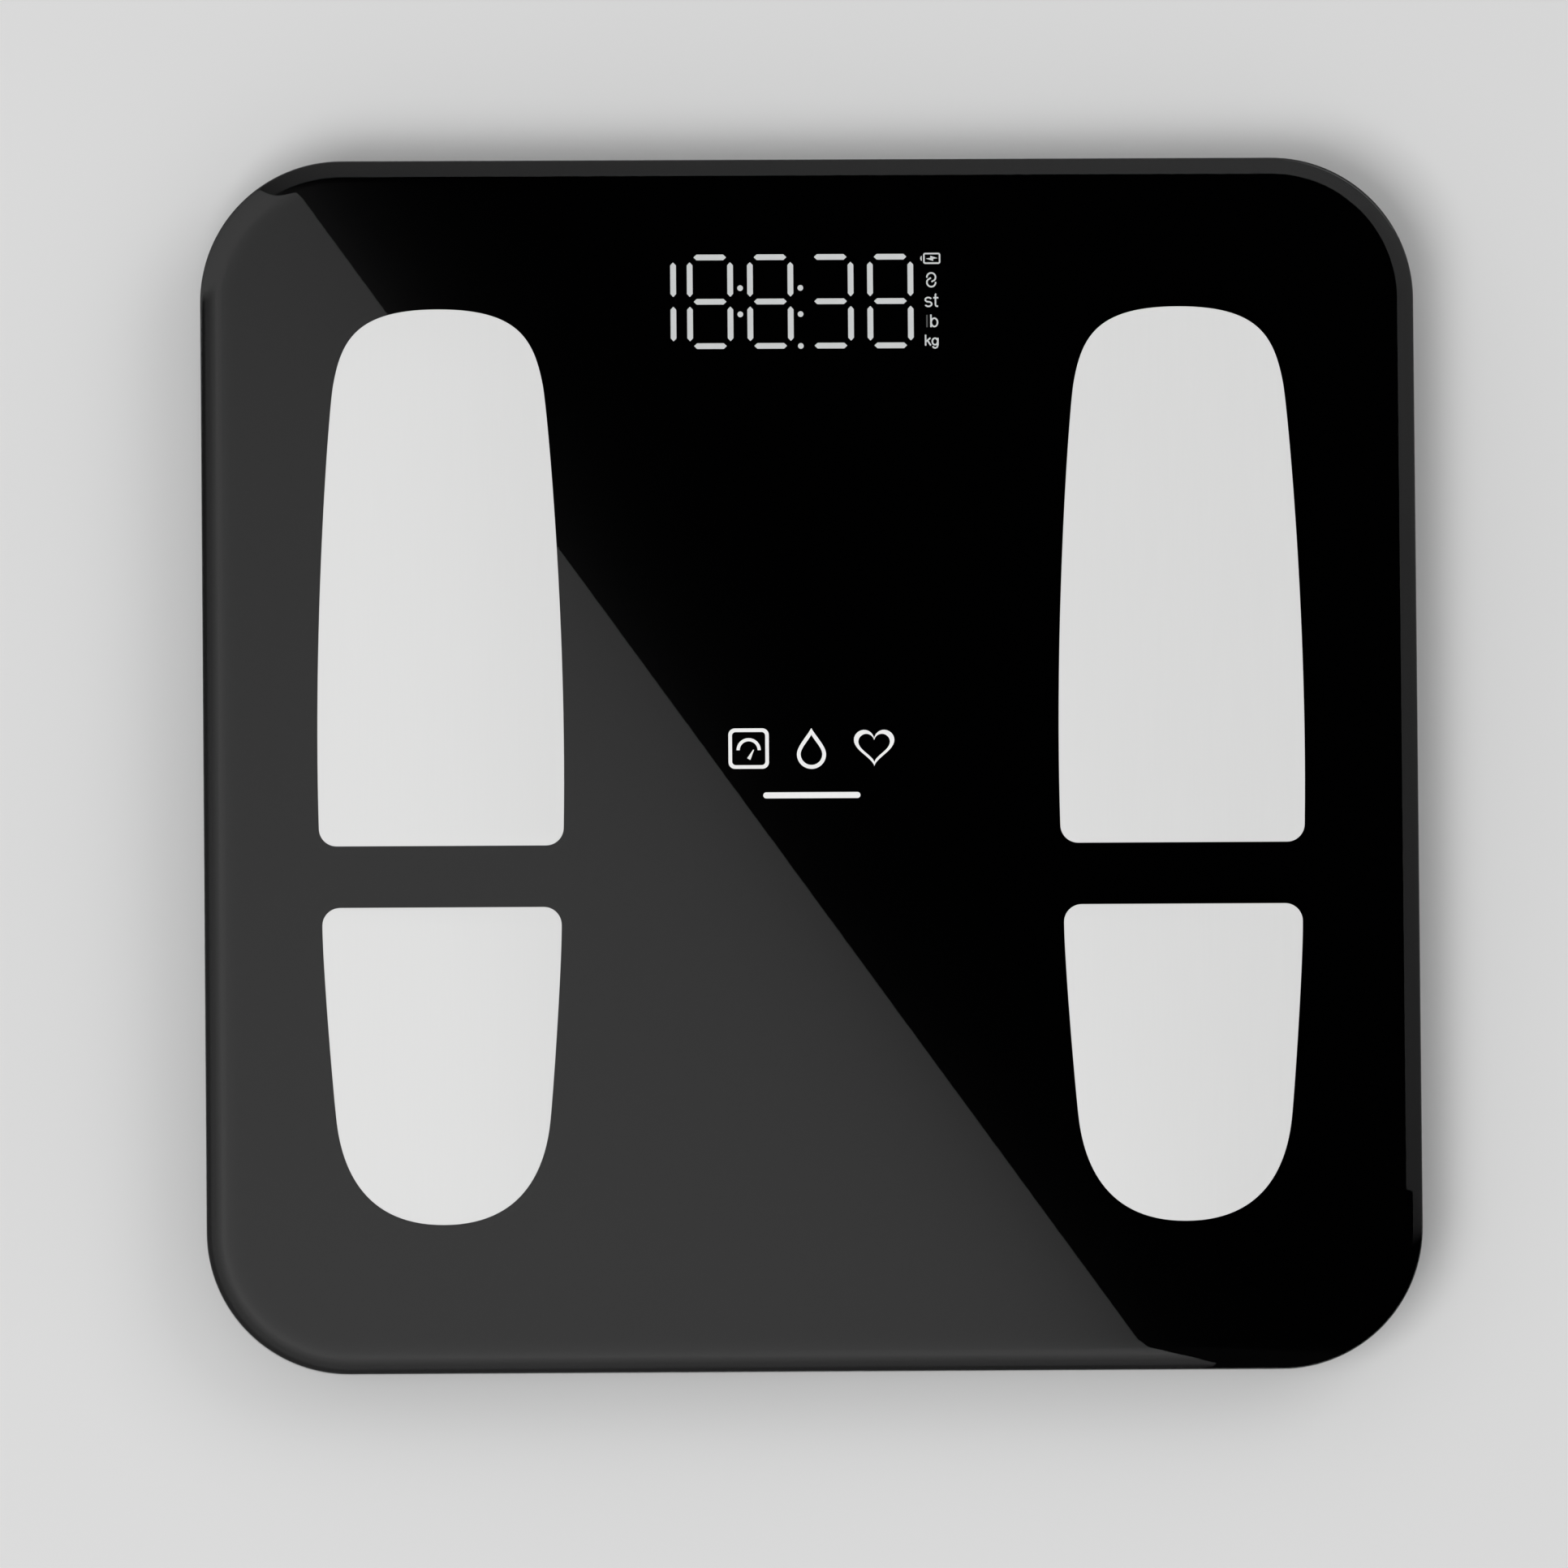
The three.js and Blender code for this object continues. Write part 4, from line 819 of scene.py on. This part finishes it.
def spring_mesh(name, face, side, y, z):
    """A conical spring of SPRING_TURNS from the plate inwards, with one more flat turn at its tip."""
    curve = bpy.data.curves.new(name, "CURVE")
    curve.dimensions = "3D"
    curve.bevel_depth = SPRING_WIRE * MM
    curve.bevel_resolution = 3
    curve.use_fill_caps = True
    spline = curve.splines.new("POLY")
    spline.points.add((SPRING_TURNS + 1) * SPRING_STEPS)
    for step, point in enumerate(spline.points):
        turn = step / SPRING_STEPS
        share = min(turn / SPRING_TURNS, 1.0)
        angle = 2 * math.pi * turn
        radius = SPRING_ROOT + (SPRING_TIP - SPRING_ROOT) * share
        radius -= SPRING_CLOSING * max(turn - SPRING_TURNS, 0)
        x = face - side * (SPRING_WIRE + (SPRING_LENGTH - SPRING_WIRE) * share)
        point.co = (x * MM, (y + radius * math.cos(angle)) * MM, (z + radius * math.sin(angle)) * MM, 1)
    return solid_from(curve, name)


def plate_mesh(name, wall, face, ys, z):
    """A rounded plate against an end wall, PLATE_MARGIN past the outermost cells."""
    half = (max(ys) - min(ys)) / 2 + PLATE_MARGIN
    outline = rounded_box(sum(ys) / len(ys), z, half, PLATE_MARGIN, PLATE_CORNER)
    mesh = flat_mesh(name, [outline], min(wall, face), max(wall, face), 0.08)
    return remapped(mesh, lambda a, b, c: (c, a, b))


def dimple_mesh(name, face, side, y, z):
    """A pressed dimple for the nub, turned to point away from the wall."""
    return remapped(lathe(name, DIMPLE, sides=48), lambda a, b, c: (face - side * c, y + side * b, z + a))


def tab_mesh(name, face, end, y):
    """A flat strip through the wall, where the battery lead is soldered."""
    strip = rounded_box((face + end) / 2, y, abs(end - face) / 2, TAB["half_width"], 0.5)
    return flat_mesh(name, [strip], TAB["z"] - TAB["half_thick"], TAB["z"] + TAB["half_thick"], 0.06)


for node, (side, touches) in CONTACTS.items():
    spots = [middle(cell)[1:] for cell, _ in touches]
    wall = side * BAY_HALF
    face = wall - side * PLATE_THICK
    mesh = plate_mesh(node + "_plate", wall, face, [y for y, _ in spots], spots[0][1])
    piece = add_object(mesh.name, mesh, [MATERIALS["contact_nickel"]], "base")
    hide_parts(node)
    for (cell, kind), (y, z) in zip(touches, spots):
        make = spring_mesh if kind == "spring" else dimple_mesh
        mesh = make(f"{node}_{kind}", face, side, y, z)
        add_object(mesh.name, mesh, [MATERIALS["contact_nickel"]], "base", 40)
    if len(touches) == 1:
        mesh = tab_mesh(node + "_tab", face, wall + side * TAB["outside"], spots[0][0])
        add_object(mesh.name, mesh, [MATERIALS["contact_nickel"]], "base")


# CAD nodes that keep their own shape

for node, thing in NODES.items():
    if not thing.hide_render:
        thing.data.materials.clear()
        thing.data.materials.append(MATERIALS[SLOT_OF[node]])


# Floor, studio panels, light and camera. Heights, lamps and the camera are in metres here.


def backdrop(name, points, height, material):
    """A level sheet that belongs to the scene and not to the object; its points are in millimetres."""
    mesh = bpy.data.meshes.new(name)
    mesh.from_pydata([(x * MM, y * MM, height) for x, y in points], [], [tuple(range(len(points)))])
    mesh.materials.append(material)
    sheet = bpy.data.objects.new(name, mesh)
    bpy.context.scene.collection.objects.link(sheet)
    sheet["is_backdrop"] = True
    return sheet


class Panel:
    """A studio panel's brightness, worked out from the place on the panel, in millimetres."""

    def __init__(self, name):
        self.material = bpy.data.materials.new(name)
        self.material.use_nodes = True
        self.tree = self.material.node_tree
        self.tree.nodes.clear()
        coords = self.tree.nodes.new("ShaderNodeTexCoord").outputs["Object"]
        split = self.tree.nodes.new("ShaderNodeSeparateXYZ")
        self.tree.links.new(coords, split.inputs[0])
        self.x, self.y = (self.math("DIVIDE", split.outputs[axis], MM) for axis in (0, 1))

    def math(self, kind, *values):
        node = self.tree.nodes.new("ShaderNodeMath")
        node.operation = kind
        for socket, value in zip(node.inputs, values):
            if isinstance(value, (int, float)):
                socket.default_value = value
            else:
                self.tree.links.new(value, socket)
        return node.outputs[0]

    def line(self, value, rise, base):
        """base, plus rise for every unit of value."""
        return self.math("ADD", self.math("MULTIPLY", value, rise), base)

    def total(self, *values):
        result = values[0]
        for value in values[1:]:
            result = self.math("ADD", result, value)
        return result

    def distance(self, across, along):
        squares = (self.math("MULTIPLY", value, value) for value in (across, along))
        return self.math("SQRT", self.total(*squares))

    def clamped(self, value):
        return self.math("MINIMUM", self.math("MAXIMUM", value, 0.0), 1.0)

    def inside(self, sign):
        """Distance from the panels' shared slanting edge, into the bright panel (1) or away from it (-1)."""
        (x0, y0), (x1, y1) = EDGE_FROM, EDGE_TO
        length = math.hypot(x1 - x0, y1 - y0)
        a, b = sign * (y1 - y0) / length, sign * (x0 - x1) / length
        along = self.total(self.math("MULTIPLY", self.x, a), self.math("MULTIPLY", self.y, b))
        return self.math("MAXIMUM", self.math("SUBTRACT", along, a * x0 + b * y0), 0.0)

    def fading(self, distance, reach):
        """1 at distance 0, and 1/e of it for every reach."""
        return self.math("POWER", math.e, self.math("DIVIDE", distance, -reach))

    def curve(self, value, places):
        """The level at a value from 0 to 1, on a curve through (value, level) places."""
        node = self.tree.nodes.new("ShaderNodeFloatCurve")
        points = node.mapping.curves[0].points
        points[0].location, points[1].location = places[0], places[-1]
        for place in places[1:-1]:
            points.new(*place).handle_type = "VECTOR"
        node.mapping.update()
        self.tree.links.new(value, node.inputs["Value"])
        return node.outputs[0]

    def shine(self, level):
        light = self.tree.nodes.new("ShaderNodeEmission")
        self.tree.links.new(self.math("MAXIMUM", level, 0.0), light.inputs["Strength"])
        out = self.tree.nodes.new("ShaderNodeOutputMaterial")
        self.tree.links.new(light.outputs[0], out.inputs["Surface"])
        return self.material


# The panels hang level over the glass and are seen only as reflections in it. The bright one meets the
# others along TOP_END, EDGE_FROM, EDGE_TO and LOWER_EDGE. The dark one has a round corner at its top right.
# The side panel stops at SIDE_LOW, and at SIDE_END further out than SIDE_OUTER.
PANEL_HEIGHT = 0.3
FAR = 950
TOP_END = (-330, 462)
EDGE_FROM, EDGE_TO = (-116.9, 172.5), (99.5, -128.3)
LOWER_EDGE = [(106.9, -182.7), (113.5, -226.5), (120.5, -279.7), (129, -FAR)]
EDGE_LEAN = (EDGE_TO[0] - EDGE_FROM[0]) / (EDGE_TO[1] - EDGE_FROM[1])
DARK_CENTRE, DARK_CORNER = (134.4, 143.8), 84.4
DARK_RIGHT, DARK_TOP = DARK_CENTRE[0] + DARK_CORNER, DARK_CENTRE[1] + DARK_CORNER
DARK_LEFT = EDGE_FROM[0] + EDGE_LEAN * (DARK_TOP - EDGE_FROM[1])
SIDE_LOW, SIDE_END, SIDE_OUTER = -86.7, -117.0, 280.4

# Brightness of each panel, and its change for every millimetre. The bright panel is level beyond FLAT_X
# and FLAT_Y, and the rim curve runs outwards over RIM_REACH from a rounded border. Between CREST_LOW and
# CREST_HIGH, and over CREST_REACH from the border, the rim curve gives way to CREST.
BRIGHT_LEVEL, BRIGHT_ALONG_X, BRIGHT_ALONG_Y = 0.834, -0.00058, -0.00088
FLAT_X, FLAT_Y = -100.0, -105.0
DIMMING, DIMMING_ALONG_Y, DIMMING_LOW, DIMMING_REACH = -0.21, 0.0008, -100.0, 14.0
BORDER_LEFT, BORDER_LOW, BORDER_HIGH, BORDER_RADIUS = -105.5, -96.1, 143.8, 28.5
RIM_REACH = 192.0
RIM_CURVE = [(0, 0.6), (0.015, 0.68), (0.05, 0.71), (0.12, 0.8), (0.26, 0.86), (0.335, 0.93),
             (0.375, 0.7), (0.482, 0.575), (0.56, 0.478), (0.64, 0.343), (0.85, 0.27), (0.89, 0.05),
             (1, 0.0)]
CREST, CREST_LOW, CREST_HIGH, CREST_REACH = 0.88, 150.0, 165.0, 10.0
GLOW, GLOW_ALONG_Y, GLOW_REACH = 0.02, 0.0005, 11.0
SIDE_LEVEL, SIDE_ALONG_Y = 0.38, 0.00086
TOP_LEVEL, TOP_ALONG_X, TOP_FLAT_X = 0.545, 0.00064, 125.0
TOP_DIMMING, TOP_DIMMING_REACH = -0.17, 45.0


def rim_level(panel):
    """The rim curve, by distance outside the border; high on the panel it gives way to CREST."""
    left = panel.math("MAXIMUM", panel.math("SUBTRACT", BORDER_LEFT, panel.x), 0.0)
    below = panel.math("SUBTRACT", BORDER_LOW, panel.y)
    above = panel.math("SUBTRACT", panel.y, BORDER_HIGH)
    upright = panel.math("MAXIMUM", panel.math("MAXIMUM", below, above), 0.0)
    outside = panel.math("SUBTRACT", panel.distance(left, upright), BORDER_RADIUS)
    rim = panel.curve(panel.clamped(panel.math("DIVIDE", outside, RIM_REACH)), RIM_CURVE)
    height = panel.math("DIVIDE", panel.math("SUBTRACT", panel.y, CREST_LOW), CREST_HIGH - CREST_LOW)
    away = panel.math("DIVIDE", outside, CREST_REACH)
    share = panel.math("MULTIPLY", panel.clamped(height), panel.clamped(away))
    return panel.total(rim, panel.math("MULTIPLY", panel.math("SUBTRACT", CREST, rim), share))


def bright_panel():
    """Around BRIGHT_LEVEL inside the border, brighter to the lower left, dimmer along the slanting edge."""
    panel = Panel("bright_panel")
    x = panel.math("MULTIPLY", panel.math("MAXIMUM", panel.x, FLAT_X), BRIGHT_ALONG_X)
    y = panel.math("MULTIPLY", panel.math("MAXIMUM", panel.y, FLAT_Y), BRIGHT_ALONG_Y)
    dimming = panel.line(panel.math("MAXIMUM", panel.y, DIMMING_LOW), DIMMING_ALONG_Y, DIMMING)
    edge = panel.math("MULTIPLY", panel.fading(panel.inside(1), DIMMING_REACH), dimming)
    return panel.shine(panel.total(x, y, edge, rim_level(panel), BRIGHT_LEVEL - RIM_CURVE[0][1]))


def dark_panel():
    """Black but for a glow beside the slanting edge, stronger towards the top."""
    panel = Panel("dark_panel")
    glow = panel.line(panel.math("MAXIMUM", panel.y, 0.0), GLOW_ALONG_Y, GLOW)
    return panel.shine(panel.math("MULTIPLY", panel.fading(panel.inside(-1), GLOW_REACH), glow))


def side_panel():
    """Dims downwards, and fades out below SIDE_LOW."""
    panel = Panel("side_panel")
    low_end = panel.math("DIVIDE", panel.math("SUBTRACT", panel.y, SIDE_END), SIDE_LOW - SIDE_END)
    level = panel.line(panel.y, SIDE_ALONG_Y, SIDE_LEVEL)
    return panel.shine(panel.math("MULTIPLY", level, panel.clamped(low_end)))


def top_panel():
    """Brighter to the right, dimmer beside the slanting edge."""
    panel = Panel("top_panel")
    dimming = panel.math("MULTIPLY", panel.fading(panel.inside(-1), TOP_DIMMING_REACH), TOP_DIMMING)
    level = panel.line(panel.math("MINIMUM", panel.x, TOP_FLAT_X), TOP_ALONG_X, TOP_LEVEL)
    return panel.shine(panel.total(level, dimming))


def reflector(name, points, material):
    """A panel over the glass that lights nothing and shows only in reflections."""
    sheet = backdrop(name, points, GLASS_HIGH * MM + PANEL_HEIGHT, material)
    sheet.visible_camera = False
    sheet.visible_diffuse = False
    sheet.visible_shadow = False
    sheet.visible_transmission = False


side_arc = arc(DARK_CENTRE, DARK_CORNER, 0, 45, 16)
top_arc = arc(DARK_CENTRE, DARK_CORNER, 45, 90, 16)
round_corner = side_arc + top_arc[1:]
side_step = [(DARK_RIGHT, SIDE_LOW), (SIDE_OUTER, SIDE_LOW), (SIDE_OUTER, SIDE_END), (FAR, SIDE_END)]
slant = [EDGE_FROM, EDGE_TO] + LOWER_EDGE

reflector("bright_panel", [(-FAR, TOP_END[1]), TOP_END] + slant + [(-FAR, -FAR)], bright_panel())
reflector("dark_panel",
          [(DARK_LEFT, DARK_TOP)] + round_corner[::-1] + side_step + [(FAR, -FAR)] + slant[::-1],
          dark_panel())
reflector("side_panel", side_arc + [(FAR, FAR)] + side_step[::-1], side_panel())
reflector("top_panel", [(DARK_LEFT, DARK_TOP), TOP_END, (TOP_END[0], FAR), (FAR, FAR)] + top_arc,
          top_panel())

floor_shader = Shader("pale_floor")
floor_shader.colour(floor_shader.noise(3), (0.62, 0.62, 0.62), (0.64, 0.64, 0.64))
floor_shader.set(Roughness=0.9, Specular_IOR_Level=0.1)
backdrop("floor", [(-4000, -4000), (4000, -4000), (4000, 4000), (-4000, 4000)], -0.0002,
         floor_shader.material)

world = bpy.data.worlds.new("studio")
bpy.context.scene.world = world
world.use_nodes = True
world.node_tree.nodes["Background"].inputs["Color"].default_value = (1, 1, 1, 1)
world.node_tree.nodes["Background"].inputs["Strength"].default_value = 0.55


def soft_box(name, place, size, watts):
    data = bpy.data.lights.new(name, "AREA")
    data.size = size
    data.energy = watts
    lamp = bpy.data.objects.new(name, data)
    lamp.location = place
    lamp.rotation_euler = (-Vector(place)).to_track_quat("-Z", "Y").to_euler()
    lamp.visible_glossy = False
    bpy.context.scene.collection.objects.link(lamp)


soft_box("key_light", (-1.0, -0.9, 3.0), 1.6, 58)
soft_box("fill_light", (1.6, 1.2, 2.4), 1.8, 14)

CAMERA_AWAY = 7.0
TILT_BACK, TILT_SIDE = 4.5, 2.7
TURN = 0.5
AIM = Vector((-0.00685, -0.0049, GLASS_HIGH * MM))
FRAME_WIDTH = 0.3867

camera_at = AIM + Vector((-CAMERA_AWAY * math.tan(math.radians(TILT_SIDE)),
                          -CAMERA_AWAY * math.tan(math.radians(TILT_BACK)), CAMERA_AWAY))
lens = bpy.data.cameras.new("camera")
lens.sensor_width = 36
lens.lens = lens.sensor_width * (camera_at - AIM).length / FRAME_WIDTH
lens.clip_start, lens.clip_end = 0.1, 60
camera = bpy.data.objects.new("camera", lens)
camera.location = camera_at
look = (AIM - camera_at).normalized()
up = Vector((math.sin(math.radians(TURN)), math.cos(math.radians(TURN)), 0))
right = look.cross(up).normalized()
true_up = right.cross(look)
camera.rotation_mode = "QUATERNION"
camera.rotation_quaternion = Matrix((right, true_up, -look)).transposed().to_quaternion()
bpy.context.scene.collection.objects.link(camera)
bpy.context.scene.camera = camera
bpy.context.scene.view_settings.view_transform = "Standard"

low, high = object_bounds()
